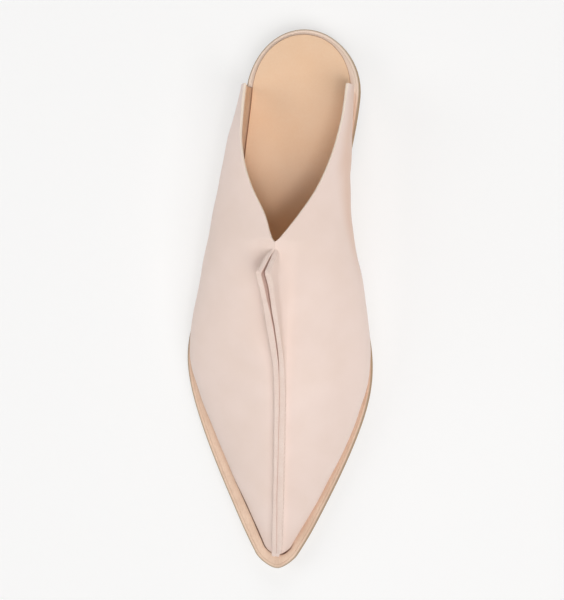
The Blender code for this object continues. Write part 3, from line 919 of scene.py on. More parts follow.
# %% Loft a closed piece
def loft(name, rings, facts=None, front_cap=None, back_cap=None, materials=(), strip_finish=None):
    """Rings of (reach, station, height) in millimetres; strip_finish gives each strip's slot."""
    mesh_data = bmesh.new()
    layers = {fact: mesh_data.verts.layers.float.new(fact) for fact in (facts or {})}
    rows = []
    for i, ring in enumerate(rings):
        row = [mesh_data.verts.new(point(*place[:3])) for place in ring]
        for fact, layer in layers.items():
            for vertex, value in zip(row, facts[fact][i]):
                vertex[layer] = value
        rows.append(row)
    count = len(rows[0])
    for near, far in zip(rows, rows[1:]):
        for j in range(count):
            k = (j + 1) % count
            face = mesh_data.faces.new((near[j], near[k], far[k], far[j]))
            face.material_index = strip_finish[j] if strip_finish else 0
    for row, cap in ((rows[0], front_cap), (rows[-1], back_cap)):
        if cap is not None:
            close_ring(mesh_data, row, cap)
    bmesh.ops.remove_doubles(mesh_data, verts=mesh_data.verts, dist=MERGE_DISTANCE)
    face_outward(mesh_data)
    mesh = bpy.data.meshes.new(name)
    mesh_data.to_mesh(mesh)
    mesh_data.free()
    for material in materials:
        mesh.materials.append(material)
    soften(mesh)
    return new_object(name, mesh)


# %% [markdown]
# ## The stack of insole, welt and outsole
# Every layer is lofted from rings, one ring a station. A ring runs up one trimmed edge, across
# the top, down the other edge and back across the bottom. The edge is a short list of insets
# and heights: a worn corner for the outsole, a bevel for the welt, a soft round for the insole.
# The rings of the toe tip and of the heel fold flat, so merging their doubles closes the layer.
# Points keep how far they lie from the edge, so that a finish can follow it.

# %% Rings of a layer
ACROSS_STEP = 0.45  # rows near the edges are this close, so that finishes can follow the edge
ACROSS_NEAR, ACROSS_FAR = 15, 4  # how many lie so close beside each edge, and then to the middle


def sides_of(loop, inset, open_front=False):
    """The lateral and the medial run of a loop moved inward, both from front to back."""
    moved = moved_in(loop, inset)
    count = (len(loop) + 1) // 2 if open_front else len(loop) // 2 + 1
    back_to_front = moved[::-1] if open_front else np.roll(moved[::-1], 1, axis=0)
    return moved[:count], back_to_front[:count]


def shares_across(width):
    """Where the rows lie between two edges: close together near each edge."""
    half = width / 2
    last = ACROSS_NEAR + ACROSS_FAR
    near = [min(ACROSS_STEP * k, half * k / last) for k in range(ACROSS_NEAR + 1)]
    far = [near[-1] + (half - near[-1]) * k / ACROSS_FAR for k in range(1, ACROSS_FAR + 1)]
    one_side = np.array(near + far) / max(width, TINY)
    return np.concatenate((one_side, 1 - one_side[-2::-1]))


def bulge(share):
    """0 at both ends and 1 half-way."""
    return 4 * share * (1 - share)


def across(start, end, crown=0.0):
    """The points between two edge points, each with its distance from the edge."""
    start, end = np.array(start), np.array(end)
    width = math.hypot(*(end - start)[:2])
    row = []
    for share in shares_across(width)[1:-1]:
        place = start + (end - start) * share
        place[2] += crown * bulge(share)
        place[3] += min(share, 1 - share) * width
        row.append(place)
    return row


def layer_rings(loop, edge, crown=0.0, open_front=False):
    """Rings of (reach, station, height, from_edge); edge lists (inset, height) from the bottom up."""
    sides = [sides_of(loop, inset, open_front) for inset, height in edge]
    rings = []
    for i in range(len(sides[0][0])):
        lateral, medial = (
            [(*runs[k][i], height, inset) for runs, (inset, height) in zip(sides, edge)] for k in (0, 1)
        )
        top = across(lateral[-1], medial[-1], crown)
        bottom = across(medial[0], lateral[0])
        rings.append(lateral + top + medial[::-1] + bottom)
    return np.array(rings)


# %% Edges, and pressing a layer to the last
ROUND_STEPS = 4


def rounded_edge(low, high, low_round, high_round):
    """An upright edge between two heights, with a quarter round at each corner."""
    turns = [math.pi / 2 * k / ROUND_STEPS for k in range(ROUND_STEPS + 1)]
    foot = [(low_round * (1 - math.sin(t)), low + low_round * (1 - math.cos(t))) for t in turns]
    head = [(high_round * (1 - math.cos(t)), high - high_round * (1 - math.sin(t))) for t in turns]
    return foot + head


def bent_layer(name, loop, edge, material, crown=0.0, more_facts=None):
    """A layer cut flat and then pressed to the last."""
    rings = layer_rings(loop, edge, crown)
    facts = {"from_edge": rings[..., 3]}
    facts.update(more_facts(rings) if more_facts else {})
    flat = loft(name, rings, facts)
    made = run_tree(flat, bend_tree, material)
    soften(made.data)
    print(name, "has", triangles(made), "triangles")
    return made


# %% What the welt's finish needs to know
# stations where the upper begins to stand off the welt, stands off fully, closes up, and is down
OUTER_TOE_GAP = (6.6, 9.0, 43.0, 49.0)
INNER_TOE_GAP = (6.6, 7.6, 9.0, 14.0)
HEEL_LIGHT_START, HEEL_LIGHT_FULL = WING_END - 18, WING_END - 2  # painted light: the welt is paler behind the wings


def gap_share(station, gap):
    """1 along the full part of a gap, fading to 0 at its two ends."""
    start, full, fade, end = gap
    return np.clip((station - start) / (full - start), 0, 1) * np.clip((end - station) / (end - fade), 0, 1)


def around_upper(rings):
    """How far the welt's points lie from the upper, where the upper stands off them, and how far behind the
    wings' end they lie, for the welt's painted shade and light.
    """
    places = rings[..., :2].reshape(-1, 2)
    behind = np.clip((places[:, 1] - HEEL_LIGHT_START) / (HEEL_LIGHT_FULL - HEEL_LIGHT_START), 0, 1)
    rows = [s for s in WIDEST_OUTLINE.stations() if s < WING_END]
    distances = []
    for side in (LATERAL, MEDIAL):
        run = np.array([(SIDE_SIGN[side] * WIDEST_OUTLINE.half_width(side, s), s) for s in rows])
        distances.append(distance_to(places, run))
    outer, inner = (gap_share(places[:, 1], gap) for gap in (OUTER_TOE_GAP, INNER_TOE_GAP))
    shape = rings.shape[:2]
    return {
        "from_upper": np.minimum(*distances).reshape(shape),
        "opening": np.where(places[:, 0] < 0, outer, inner).reshape(shape),
        "behind_wings": behind.reshape(shape),
    }


# %% Outsole, welt and insole
WELT_STEP = 0.5  # the welt's edge stands back from the outsole's
WELT_SHOULDER = 0.25  # the welt's upright edge ends this far below its top
# from there on, each inset with its height against the top: a bevel, and a crease beside it
WELT_BEVEL = [(0.35, -0.22), (0.8, -0.07), (1.35, -0.02), (1.5, -0.1), (1.75, -0.1), (1.9, 0.0)]
INSOLE_INSET = 1.85  # the insole's edge stands in from the upper's feather edge
INSOLE_CROWN = 0.35

outsole = bent_layer(
    "outsole_leather", OUTSOLE_OUTLINE.loop(), rounded_edge(0, OUTSOLE_RISE, 0.7, 0.45), sole_leather
)
welt = bent_layer(
    "welt",
    moved_in(OUTSOLE_OUTLINE.loop(), WELT_STEP),
    rounded_edge(OUTSOLE_RISE, WELT_RISE - WELT_SHOULDER, 0.3, 0.12)
    + [(inset, WELT_RISE + drop) for inset, drop in WELT_BEVEL],
    welt_leather,
    more_facts=around_upper,
)
insole = bent_layer(
    "insole_sock",
    moved_in(INSOLE_BASE.loop(), INSOLE_INSET),
    rounded_edge(WELT_RISE, INSOLE_RISE, 0.1, 0.45),
    insole_leather,
    crown=INSOLE_CROWN,
)

# %% [markdown]
# ## The heel
# A low stacked heel: two leather lifts and a rubber top piece, all cut to the outsole's plan
# and rasped so that the heel stands in by about a millimetre at the floor. Its front face, the
# breast, is cut straight across, and is filled in after the loft.

# %% Heel blocks
HEEL_TAPER = 1.2
LIFT_GAP = 0.04  # a fine shadow line between two layers of the heel
LIFT_CORNER, RUBBER_CORNER = 0.15, 0.4
BREAST_CLEAR = 0.8  # the second ring stands at least this far behind the breast


def heel_loop():
    """The heel's outline as (reach, station) points, open along the breast."""
    rows = [HEEL_BREAST] + [s for s in OUTSOLE_OUTLINE.stations() if s > HEEL_BREAST + BREAST_CLEAR]
    lateral = [(-OUTSOLE_OUTLINE.half_width(LATERAL, s), s) for s in rows]
    medial = [(OUTSOLE_OUTLINE.half_width(MEDIAL, s), s) for s in rows[:-1]]
    return np.array(lateral + medial[::-1])


def close_holes(piece):
    """Closes a piece's open ends with flat faces."""
    mesh_data = bmesh.new()
    mesh_data.from_mesh(piece.data)
    bmesh.ops.holes_fill(mesh_data, edges=mesh_data.edges)
    face_outward(mesh_data)
    mesh_data.to_mesh(piece.data)
    mesh_data.free()


def heel_block(name, low, high, material, corner):
    """One level layer of the heel between two heights."""
    edge = [
        (inset + HEEL_TAPER * (1 - height / HEEL_HEIGHT), height)
        for inset, height in rounded_edge(low, high, corner, corner)
    ]
    rings = layer_rings(heel_loop(), edge, open_front=True)
    piece = loft(name, rings, {"from_edge": rings[..., 3]}, materials=[material])
    close_holes(piece)
    soften(piece.data)
    print(name, "has", triangles(piece), "triangles")
    return piece


rubber_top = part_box("heel_top_piece")[1].z / MM
lift_line = (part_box("heel_lift_1")[1].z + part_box("heel_lift_2")[0].z) / 2 / MM
top_piece = heel_block("top_piece", 0.0, rubber_top, heel_rubber, RUBBER_CORNER)
lower_lift = heel_block("lift_1", rubber_top + LIFT_GAP, lift_line, lift_leather, LIFT_CORNER)
upper_lift = heel_block("lift_2", lift_line + LIFT_GAP, HEEL_HEIGHT, lift_leather, LIFT_CORNER)

# %% [markdown]
# ## The upper
# The upper is two panels of soft leather, one on each side, with their flesh sides lined. On
# the last they are stretched from the feather edge over the widest line to the seam. Each
# section is two arcs: a short one from the foot to the widest line, and a long one from there
# over the shoulder to the top edge.

# %% One side of a section
LOW_CORNER, LOW_FULLNESS, HIGH_FULLNESS = 0.4, 0.6, 0.62
LOW_COUNT, HIGH_COUNT = 20, 160
PANEL_WALL = 1.4
FOOT_RISE = WELT_RISE + 0.05  # the panels stand on the welt with a hair's breadth of air
OPENING_LIFT = 0.4  # how far the outer toe's edge stands off the welt


def arc(start, corner, end, fullness, count):
    """A curve that leaves start and reaches end heading along the lines to the corner."""
    start, corner, end = (np.array(place, dtype=float) for place in (start, corner, end))
    leave = start + fullness * (corner - start)
    arrive = end + fullness * (corner - end)
    t = np.linspace(0, 1, count + 1)[:, None]
    return (1 - t) ** 3 * start + 3 * (1 - t) ** 2 * t * leave + 3 * (1 - t) * t**2 * arrive + t**3 * end


def foot_height(side, station):
    """The feather edge, which stands off the welt along the outer toe."""
    level = tread_height(station) + FOOT_RISE
    if side == MEDIAL:
        return level
    start, full, fade, end = OUTER_TOE_GAP
    return level + OPENING_LIFT * smooth_rise(station, start, full) * smooth_fall(station, fade, end)


def top_edge(side, station):
    """The seam's line in front of the throat, and the topline behind it."""
    if station <= THROAT:
        return SIDE_SIGN[side] * SEAM.at("reach", station), SEAM.at("height", station)
    return TOPLINE.at(side, station), TOPLINE.at("height", station)


def plain_section(side, station):
    """The outer surface from foot to top edge, as (reach from the axis, height) points."""
    foot = FEATHER_OUTLINE.half_width(side, station), foot_height(side, station)
    belly = WIDEST_OUTLINE.half_width(side, station), foot[1] + LAST_SECTIONS.at("widest_rise", station)
    edge = top_edge(side, station)
    shoulder = LAST_SECTIONS.at(side + "_shoulder", station)
    low_corner = belly[0], foot[1] + LOW_CORNER * (belly[1] - foot[1])
    high_corner = belly[0], belly[1] + shoulder * (edge[1] - belly[1])
    low = arc(foot, low_corner, belly, LOW_FULLNESS, LOW_COUNT)
    return np.concatenate((low, arc(belly, high_corner, edge, HIGH_FULLNESS, HIGH_COUNT)[1:]))


# %% Easing the section past the throat
EASE_REACH, EASE_SPREAD = 24.0, 7.0
EASE_LEAST = 0.4  # a narrower spread than this changes nothing
EASE_FADE = 45  # towards the top edge, the easing fades out over this many points
EASE_STEPS = np.linspace(-2, 2, 9)
EASE_WEIGHTS = np.exp(-(EASE_STEPS**2))


def section(side, station):
    """The plain section, eased along the shoe where the seam's rise turns into the topline's fall."""
    here = plain_section(side, station)
    spread_here = EASE_SPREAD * math.exp(-(((station - THROAT) / EASE_REACH) ** 2))
    if spread_here < EASE_LEAST:
        return here
    near = [plain_section(side, station + step * spread_here) for step in EASE_STEPS]
    eased_here = sum(w * run for w, run in zip(EASE_WEIGHTS, near)) / EASE_WEIGHTS.sum()
    last = len(here) - 1
    share = np.array([smooth_rise(last - k, 0, EASE_FADE) for k in range(len(here))])[:, None]
    return here + share * (eased_here - here)


# %% Measures along a section
def inward(run):
    """Unit normals of a foot-to-top run that point into the shoe."""
    along = np.gradient(run, axis=0)
    return np.stack((-along[:, 1], along[:, 0]), axis=1) / np.maximum(np.hypot(*along.T), TINY)[:, None]


def girth(run):
    """The distance along a run from its first point."""
    return np.concatenate(([0], np.cumsum(np.hypot(*np.diff(run, axis=0).T))))


def spread(run, count, start=0.0, end=None):
    """Evenly spaced points along a run, between two distances along it."""
    lengths = girth(run)
    wanted = np.linspace(start, lengths[-1] if end is None else end, count)
    return np.stack([np.interp(wanted, lengths, run[:, k]) for k in (0, 1)], axis=1)


# %% [markdown]
# Worn leather is never as even as its last. Where the foot bends, and beside the fin, the
# panels have soft dents and folds. Each is placed on a panel: a station, a distance down from the
# top edge, a length along its own direction, a width across it, and a depth.
# Broad shallow swells keep the rest of the surface from looking moulded.

# %% Creases and swells
CREASES = {
    LATERAL: [
        # station, distance from the top edge, direction, length, width, depth
        (150, 6.5, 70, 9, 4.0, 1.25),
        (128, 7.0, 84, 22, 3.0, 0.35),
        (104, 34, 25, 22, 5.0, 0.45),
        (116, 44, 20, 16, 4.5, 0.4),
        (171, 17, 55, 15, 5.0, 0.45),
        (60, 14, 80, 26, 5.0, 0.25),
    ],
    MEDIAL: [
        (137, 5.5, 86, 20, 2.6, 0.7),
        (110, 5.0, 88, 14, 2.6, 0.3),
        (203, 11, 60, 15, 4.5, 0.75),
        (191, 20, 65, 14, 4.5, 0.4),
        (112, 28, 25, 20, 5.0, 0.4),
        (150, 17, 70, 17, 5.5, 0.5),
    ],
}
SWELLS = [
    # depth, wave length along the shoe, twist with the girth, phase
    (0.14, 47.0, 0.9, 0.3),
    (0.1, 31.0, 2.1, 1.7),
    (0.07, 19.0, 0.4, 4.0),
]
TWIST_GIRTH = 9.0
CALM_FOOT, CALM_TOP = 6.0, 3.5  # this near the foot and the top edge, the relief fades out
CALM_TOE = (12.0, 32.0)  # and between these stations, towards the toe


def dented(side, station, run):
    """A run with its creases pressed in, and swollen a little between them."""
    lengths = girth(run)
    down = lengths[-1] - lengths
    depth = np.zeros(len(run))
    for place, distance, direction, length, width, deep in CREASES[side]:
        turn = math.radians(direction)
        ahead, aside = station - place, down - distance
        along = ahead * math.sin(turn) + aside * math.cos(turn)
        over = ahead * math.cos(turn) - aside * math.sin(turn)
        depth += deep * np.exp(-((along / length) ** 2) - (over / width) ** 2)
    lean = SIDE_SIGN[side]
    for amount, wave, twist, phase in SWELLS:
        turn = 2 * math.pi * station / wave + twist * lengths / TWIST_GIRTH
        depth += amount * np.sin(turn + phase + lean)
    calm = np.clip(lengths / CALM_FOOT, 0, 1) * np.clip(down / CALM_TOP, 0, 1)
    return run + inward(run) * (depth * calm * smooth_rise(station, *CALM_TOE))[:, None]


# %% [markdown]
# At the seam both panels turn up. The two turned-up edges, the plies, are stitched together
# flat against each other, and behind the ball of the foot they grow into the leaning fin.
# A ply is described by the height above the seam's own line: its outer face, and its inner
# face where it meets the other ply or stands apart from it across the slit.

# %% The plies at one station
PLY_ROOT = 1.6  # the plies lean as if hinged this far below the surface
MATE_GAP = 0.01  # between the plies where they touch
LEAST_PLY = 0.01  # a ply is never thinner than this
LEAST_HEIGHT = 0.1  # keeps a share of a ply's height safe where the ply vanishes
KINK_SPREAD = 0.9  # the cut edges turn their corners over this length
KINK_STEPS = (-1, -0.5, 0, 0.5, 1)
BOW_SHARE = 0.55  # at the bow a ply takes no more than this share of the half width
LIP_DROP = 0.22  # how deep the groove is where one ply's cut edge meets the other's
ROUND_SHARE = 0.4  # a rounding takes no more than this share of a ply's height


def eased(table, name, station):
    """A straight-run table with its kinks rounded."""
    return sum(table(name, station + step * KINK_SPREAD) for step in KINK_STEPS) / len(KINK_STEPS)


class Plies:
    """The two plies at a station: where their faces stand at each rise above the seam's line."""

    def __init__(self, station):
        self.middle, self.base = SEAM.at("reach", station), SEAM.at("height", station)
        self.height, self.lean, self.thickness, self.line = (
            eased(RIDGE, name, station) for name in ("height", "lean", "thickness", "ply_line")
        )
        self.slit, self.shift, self.slit_foot = (
            eased(SLIT, name, station) for name in ("half_width", "shift", "foot_share")
        )
        self.lip_drop = min(LIP_DROP, ROUND_SHARE * self.height)
        self.bow_half = {
            side: BOW_SHARE * WIDEST_OUTLINE.half_width(side, station) for side in (LATERAL, MEDIAL)
        }

    def middle_at(self, rise):
        return self.middle + self.lean * (rise + PLY_ROOT) / (self.height + PLY_ROOT)

    def share_of(self, rise):
        return rise / max(self.height, LEAST_HEIGHT)

    def apart(self, rise):
        """How far each ply stands off the middle, for the slit between them."""
        return self.slit * smooth_rise(self.share_of(rise), self.slit_foot, 1)

    def face(self, side, rise):
        """A ply's outer face, as a reach to its own side."""
        middle = SIDE_SIGN[side] * self.middle_at(rise)
        return middle + min(self.thickness, self.bow_half[side]) + self.apart(rise)

    def mate(self, side, rise):
        """Its inner face, which touches the other ply or stands apart from it across the slit."""
        share = min(1.0, max(0.0, self.share_of(rise)))
        line = self.middle_at(rise) + min(1.0, self.bow_half[side]) * self.line + self.shift * share
        inner = SIDE_SIGN[side] * line + MATE_GAP + self.apart(rise)
        return min(inner, self.face(side, rise) - LEAST_PLY)


# %% [markdown]
# A panel's ring starts at the foot, follows the outer surface, turns up the ply through a
# small hollow, goes over the ply's cut edge, down its inner face, and back to the foot along
# the flesh side. Behind the throat there is no ply: the same points close up round the cut
# edge of the topline.

# %% A ring where there is a ply
LAND_STEPS = (0.45, 0.87, 1.0)  # across a ply's cut edge, its land, to the groove between plies
VAMP_POINTS, HOLLOW_POINTS, PLY_POINTS, CORNER_POINTS, LAND_POINTS = 40, 4, 5, 3, len(LAND_STEPS)
EDGE_POINTS = PLY_POINTS + CORNER_POINTS + LAND_POINTS
HOLLOW = {LATERAL: (0.9, 0.45), MEDIAL: (3.6, 0.27)}  # the most, and the share of a ply's height
PLY_CORNER, LAND_CROWN = 0.45, 0.1
ROUND_FULLNESS = 0.6
MATE_TOP = 0.97  # a ply's inner face ends at this share of the height of its lip
FLESH_CLEAR = 0.2  # the flesh side ends this far beside a ply's inner face


def cut_at(run, distances):
    """Where a falling row of distances passes zero: the run up to there, with that point last."""
    i = int(np.argmax(distances <= 0))
    if distances[i] > 0 or i == 0:
        return run
    share = distances[i - 1] / (distances[i - 1] - distances[i])
    return np.concatenate((run[:i], [run[i - 1] + share * (run[i] - run[i - 1])]))


def outer_with_ply(side, run, plies):
    """The outer surface, the hollow, the ply's outer face, its corner and its cut edge."""
    most, share = HOLLOW[side]
    hollow = min(most, share * plies.height)
    corner = min(PLY_CORNER, ROUND_SHARE * plies.height)
    away = np.array([reach - plies.face(side, height - plies.base) for reach, height in run])
    meeting = cut_at(run, away)[-1]
    low = cut_at(run, away - hollow)
    rise = meeting[1] - plies.base + hollow
    top = plies.base + plies.height
    turn_up = plies.face(side, rise), plies.base + rise
    shoulder = plies.face(side, plies.height - corner), top - corner
    top_corner = plies.face(side, plies.height), top
    outer_lip = top_corner[0] - corner, top
    inner_lip = plies.mate(side, plies.height), top
    steps = np.array(LAND_STEPS)[:, None]
    land = np.array(outer_lip) * (1 - steps) + np.array(inner_lip) * steps
    land[:, 1] += LAND_CROWN * bulge(steps)[:, 0] * min(1.0, plies.height)
    land[-1, 1] -= plies.lip_drop
    return np.concatenate(
        (
            spread(low, VAMP_POINTS),
            arc(low[-1], meeting, turn_up, ROUND_FULLNESS, HOLLOW_POINTS)[1:],
            spread(np.array([turn_up, shoulder]), PLY_POINTS + 1)[1:],
            arc(shoulder, top_corner, outer_lip, ROUND_FULLNESS, CORNER_POINTS)[1:],
            land,
        )
    )


def flesh_side_of(run, wall):
    """A run moved in by the panel's thickness, with its first point level with the foot."""
    flesh = run + inward(run) * wall
    flesh[0, 1] = run[0, 1]
    return flesh


def inner_with_ply(side, run, plies, wall):
    """The flesh side and the ply's inner face, with as many points as the outer run has."""
    flesh = flesh_side_of(run, wall)
    mate_foot = plies.mate(side, 0), plies.base - wall
    low = cut_at(flesh, flesh[:, 0] - mate_foot[0] - FLESH_CLEAR)
    low = np.concatenate((low[:-1], [mate_foot]))
    rises = np.linspace(0, MATE_TOP * (plies.height - plies.lip_drop), EDGE_POINTS)
    mate = np.array([(plies.mate(side, rise), plies.base + rise) for rise in rises])
    return np.concatenate((spread(low, VAMP_POINTS + HOLLOW_POINTS), mate))


# %% A ring behind the throat
TOP_RUN = 3.0  # the last stretch of the surface before the topline has the points of a ply
TOPLINE_CORNER, TOPLINE_CROWN = 0.35, 0.04
FLESH_END = 0.3  # the flesh side ends this far before the cut edge


def frame_at_edge(run):
    """Places round the topline by how far back along the surface and how deep they lie."""
    last_step = run[-1] - run[-4]
    along = last_step / np.hypot(*last_step)
    deep = np.array((-along[1], along[0]))
    return lambda back, depth: run[-1] - back * along + depth * deep


def outer_with_topline(run, wall):
    """The outer surface, rounded over into the cut edge of the topline."""
    place = frame_at_edge(run)
    length = girth(run)[-1]
    start, corner = length - TOP_RUN, TOPLINE_CORNER
    first = spread(run, VAMP_POINTS, 0, start)
    last = spread(run, HOLLOW_POINTS + PLY_POINTS + 1, start, length - corner)[1:]
    round_over = arc(place(corner, 0), place(0, 0), place(0, corner), ROUND_FULLNESS, CORNER_POINTS)[1:]
    land = []
    for step in np.linspace(0, 1, LAND_POINTS + 1)[1:]:
        land.append(place(-TOPLINE_CROWN * math.sin(math.pi * step), corner + (wall - 2 * corner) * step))
    return np.concatenate((first, last, round_over, land))


def inner_with_topline(run, wall):
    """The flesh side, up to just below the cut edge."""
    flesh = flesh_side_of(run, wall)
    length = girth(flesh)[-1]
    first = spread(flesh, VAMP_POINTS + HOLLOW_POINTS, 0, length - TOP_RUN)
    last = spread(flesh, EDGE_POINTS + 1, length - TOP_RUN, length - FLESH_END)[1:]
    return np.concatenate((first, last))


# %% Where the rings stand
BOW_START = UPPER_FRONT + 0.04
BOW_STATIONS = (BOW_START, 7.6, 7.75, 8.0, 8.4, 8.9, 9.5, 10.2, 11, 12, 13.2, 14.6, 16, 17.5)
EVEN_RUNS = ((19, 98, 1.6), (98, 143, 1.0), (143, THROAT - 0.2, 0.5))  # from, to, step
EVEN_STATIONS = np.concatenate([np.arange(*run) for run in EVEN_RUNS])
BEHIND_THROAT = (0, 0.3, 0.7, 1.2, 1.8, 2.5, 3.3, 4.2, 5.2, 6.4, 7.7, 9.2)
THROAT_STATIONS = [THROAT + back for back in BEHIND_THROAT]
WING_STATIONS = np.linspace(THROAT + 11, WING_END, 42)
PANEL_STATIONS = [*BOW_STATIONS, *EVEN_STATIONS, *THROAT_STATIONS, *WING_STATIONS]

WING_RAKE, WING_RAKE_START = 4.0, 205.0  # a wing's top ends this far in front of its foot
WING_EXTRA = {LATERAL: 0.0, MEDIAL: 2.0}  # the inner wing reaches a little further back
INNER_FRONT, INNER_CATCH_UP = 10.2, 23.0  # stations between which the inside is held back
FULL_WALL_WIDTH = 12.0  # at the bow, where a panel is narrower than this, its wall is thinner
print(len(PANEL_STATIONS), "rings in a panel")


def raked(side, station, share):
    """The wings' rear edges lean forward: share is 0 at the foot and 1 at the top."""
    ease = smooth_rise(station, WING_RAKE_START, WING_END)
    return station + ease * (WING_EXTRA[side] - WING_RAKE * share)


def inner_station(station):
    """The inside begins behind the bow's wall and catches up with the outside."""
    share = (station - UPPER_FRONT) / (INNER_CATCH_UP - UPPER_FRONT)
    return max(station, INNER_FRONT + (INNER_CATCH_UP - INNER_FRONT) * share)


def wall_at(side, station, wall):
    """A wall measured square to the flank looks thicker in a section across the shoe."""
    slope = LAST_SECTIONS.at(side, station + 0.5) - LAST_SECTIONS.at(side, station - 0.5)
    narrow = min(1.0, WIDEST_OUTLINE.half_width(side, station) / FULL_WALL_WIDTH)
    return wall * math.hypot(1, slope) * narrow


def placed(side, station, run):
    """Section points to (reach, station, height) in the shoe."""
    low, high = run[:, 1].min(), run[:, 1].max()
    share = (run[:, 1] - low) / (high - low)
    return [(SIDE_SIGN[side] * r, raked(side, station, k), z) for (r, z), k in zip(run, share)]


def panel_ring(side, station):
    """The outer and the inner run of a panel, both from the foot up."""
    run = dented(side, station, section(side, station))
    wall = wall_at(side, station, PANEL_WALL)
    if station > THROAT:
        outer, inner = outer_with_topline(run, wall), inner_with_topline(run, wall)
        return placed(side, station, outer), placed(side, station, inner)
    outer = outer_with_ply(side, run, Plies(station))
    back = inner_station(station)
    run = dented(side, back, section(side, back))
    inner = inner_with_ply(side, run, Plies(back), wall_at(side, back, PANEL_WALL))
    return placed(side, station, outer), placed(side, back, inner)


# %% [markdown]
# A panel is more than one finish: its smooth outside, the fibres of its cut edges, and its flesh
# side. Each strip of faces round the ring has its own slot, so the finishes meet along clean
# lines. Three numbers at each point do the rest: how far it lies above the foot, for the painted
# shade there, whether the two plies' cut edges meet there, and how much painted shade the lower
# inner flank takes.

# %% Finishes of a panel
OUTSIDE, CUT, FLESH, TOPLINE_CUT = range(4)
PANEL_FINISHES = [blush_leather, cut_edge, flesh_side, topline_edge]
SMOOTH_STRIPS = VAMP_POINTS + HOLLOW_POINTS + PLY_POINTS
CUT_STRIPS = CORNER_POINTS + LAND_POINTS
FLESH_STRIPS = SMOOTH_STRIPS + CUT_STRIPS - 1
PANEL_STRIPS = [OUTSIDE] * SMOOTH_STRIPS + [CUT] * CUT_STRIPS + [FLESH] * FLESH_STRIPS + [CUT]
MATING_END = THROAT - 5
# painted shade on the lower inner flank, growing in between these stations
FLANK_SHADE_START, FLANK_SHADE_FULL = 138.0, 172.0
FLANK_SHADE_LOW, FLANK_SHADE_HIGH = 6.0, 15.0  # the painted shade fades between these rises above the widest line


def painted_flank_shade(side, rings):
    """Painted shade, a little darker, on the lower inner flank behind the ball."""
    flank_shade = np.zeros(rings.shape[:2])
    if side == LATERAL:
        return flank_shade
    for i, ring in enumerate(rings):
        station = ring[0, 1]
        widest = foot_height(side, station) + LAST_SECTIONS.at("widest_rise", station)
        along = smooth_rise(station, FLANK_SHADE_START, FLANK_SHADE_FULL)
        flank_shade[i] = [along * smooth_fall(z - widest, FLANK_SHADE_LOW, FLANK_SHADE_HIGH) for z in ring[:, 2]]
    return flank_shade


def panel_facts(side, rings):
    """The numbers that a panel's points keep for its finishes."""
    mating = np.zeros(rings.shape[:2])
    lip = PANEL_STRIPS.index(FLESH) - 1  # the last point of a ply's cut edge, where it meets the other's
    mating[:, lip : lip + 2] = (rings[:, 0, 1] < MATING_END)[:, None]
    from_foot = rings[..., 2] - rings[:, :1, 2]
    return {"from_foot": from_foot, "mating_line": mating, "flank_shade": painted_flank_shade(side, rings)}


# %% Both panels
WING_ROUND = [(0.3, 0.1), (0.45, 0.28)]  # how far back of the last ring, and how far pinched


def make_panel(side):
    """Rings from the bow to the wing's end, where two pinched ones round the cut edge."""
    rings = []
    for station in PANEL_STATIONS:
        outer, inner = (np.array(run) for run in panel_ring(side, station))
        rings.append(np.concatenate((outer, inner[::-1])))
    middle = (outer + inner) / 2
    for back, pinch in WING_ROUND:
        pinched = [run + (middle - run) * pinch for run in (outer, inner)]
        rings.append(np.concatenate((pinched[0], pinched[1][::-1])) + (0, back, 0))
    rings = np.array(rings)
    panel = loft(
        "panel_" + side,
        rings,
        panel_facts(side, rings),
        front_cap=FLESH,
        back_cap=CUT,
        materials=PANEL_FINISHES,
        strip_finish=PANEL_STRIPS,
    )
    for face in panel.data.polygons:
        if face.material_index == CUT and face.center.y > point(0, THROAT, 0)[1]:
            face.material_index = TOPLINE_CUT
    return panel


panels = {side: make_panel(side) for side in (LATERAL, MEDIAL)}
for side, panel in panels.items():
    print("panel", side, "has", triangles(panel), "triangles")

# %% [markdown]
# ## Linings
# A thin tan lining is pasted to each panel's flesh side and trimmed just below the topline. It
# is the same section moved in by the panel's thickness.

# %% Both linings
LINING_START = 45.0
LINING_DEPTHS = (1.43, 2.0)  # its two faces, measured in from the panel's outside
LINING_DROP = 1.3
LINING_FOOT, LINING_SEAM_GAP = 0.02, 0.3
LINING_POINTS = 40


def lining_run(side, station, depth):
    """One face of the lining, from the foot to the seam or to just below the topline."""
    run = dented(side, station, section(side, station))
    run = run + inward(run) * wall_at(side, station, depth)
    run[0, 1] = foot_height(side, station) + LINING_FOOT
    if station <= THROAT:
        limit = Plies(station).mate(side, 0) + LINING_SEAM_GAP
        return spread(cut_at(run, run[:, 0] - limit), LINING_POINTS)
    return spread(run, LINING_POINTS, 0, girth(run)[-1] - LINING_DROP)


def make_lining(side):
    """A thin closed shell, from behind the toes to the wing's end."""
    rings = []
    for station in [s for s in PANEL_STATIONS if s > LINING_START]:
        outer, inner = (placed(side, station, lining_run(side, station, d)) for d in LINING_DEPTHS)
        rings.append(outer + inner[::-1])
    return loft("lining_" + side, rings, front_cap=0, back_cap=0, materials=[lining_leather])


linings = {side: make_lining(side) for side in (LATERAL, MEDIAL)}
print("linings have", [triangles(piece) for piece in linings.values()], "triangles")

# %% [markdown]
# ## The tab at the toe
# At the tip the two plies run down the bow and end as a small tab that is stuck on the welt.

# %% Toe tab
TAB_REACH = -0.8
TAB_PATH = [
    # station, height of the tab's underside above the welt there, half width, thickness
    (10.5, 5.5, 1.9, 1.5),
    (9.2, 4.9, 1.95, 1.5),
    (8.2, 3.6, 1.95, 1.45),
    (7.6, 2.1, 1.9, 1.25),
    (7.3, 0.9, 1.8, 1.0),
    (7.1, 0.05, 1.65, 0.75),
]
TAB_CORNERS = 24
TAB_SQUARENESS = 4  # 2 would be an ellipse
TAB_GROOVE_DEPTH, TAB_GROOVE_WIDTH = 0.12, 0.3  # as a share of the thickness, and in millimetres
TAB_FROM_FOOT = 20.0  # the tab takes none of the painted shade that a panel has near its foot
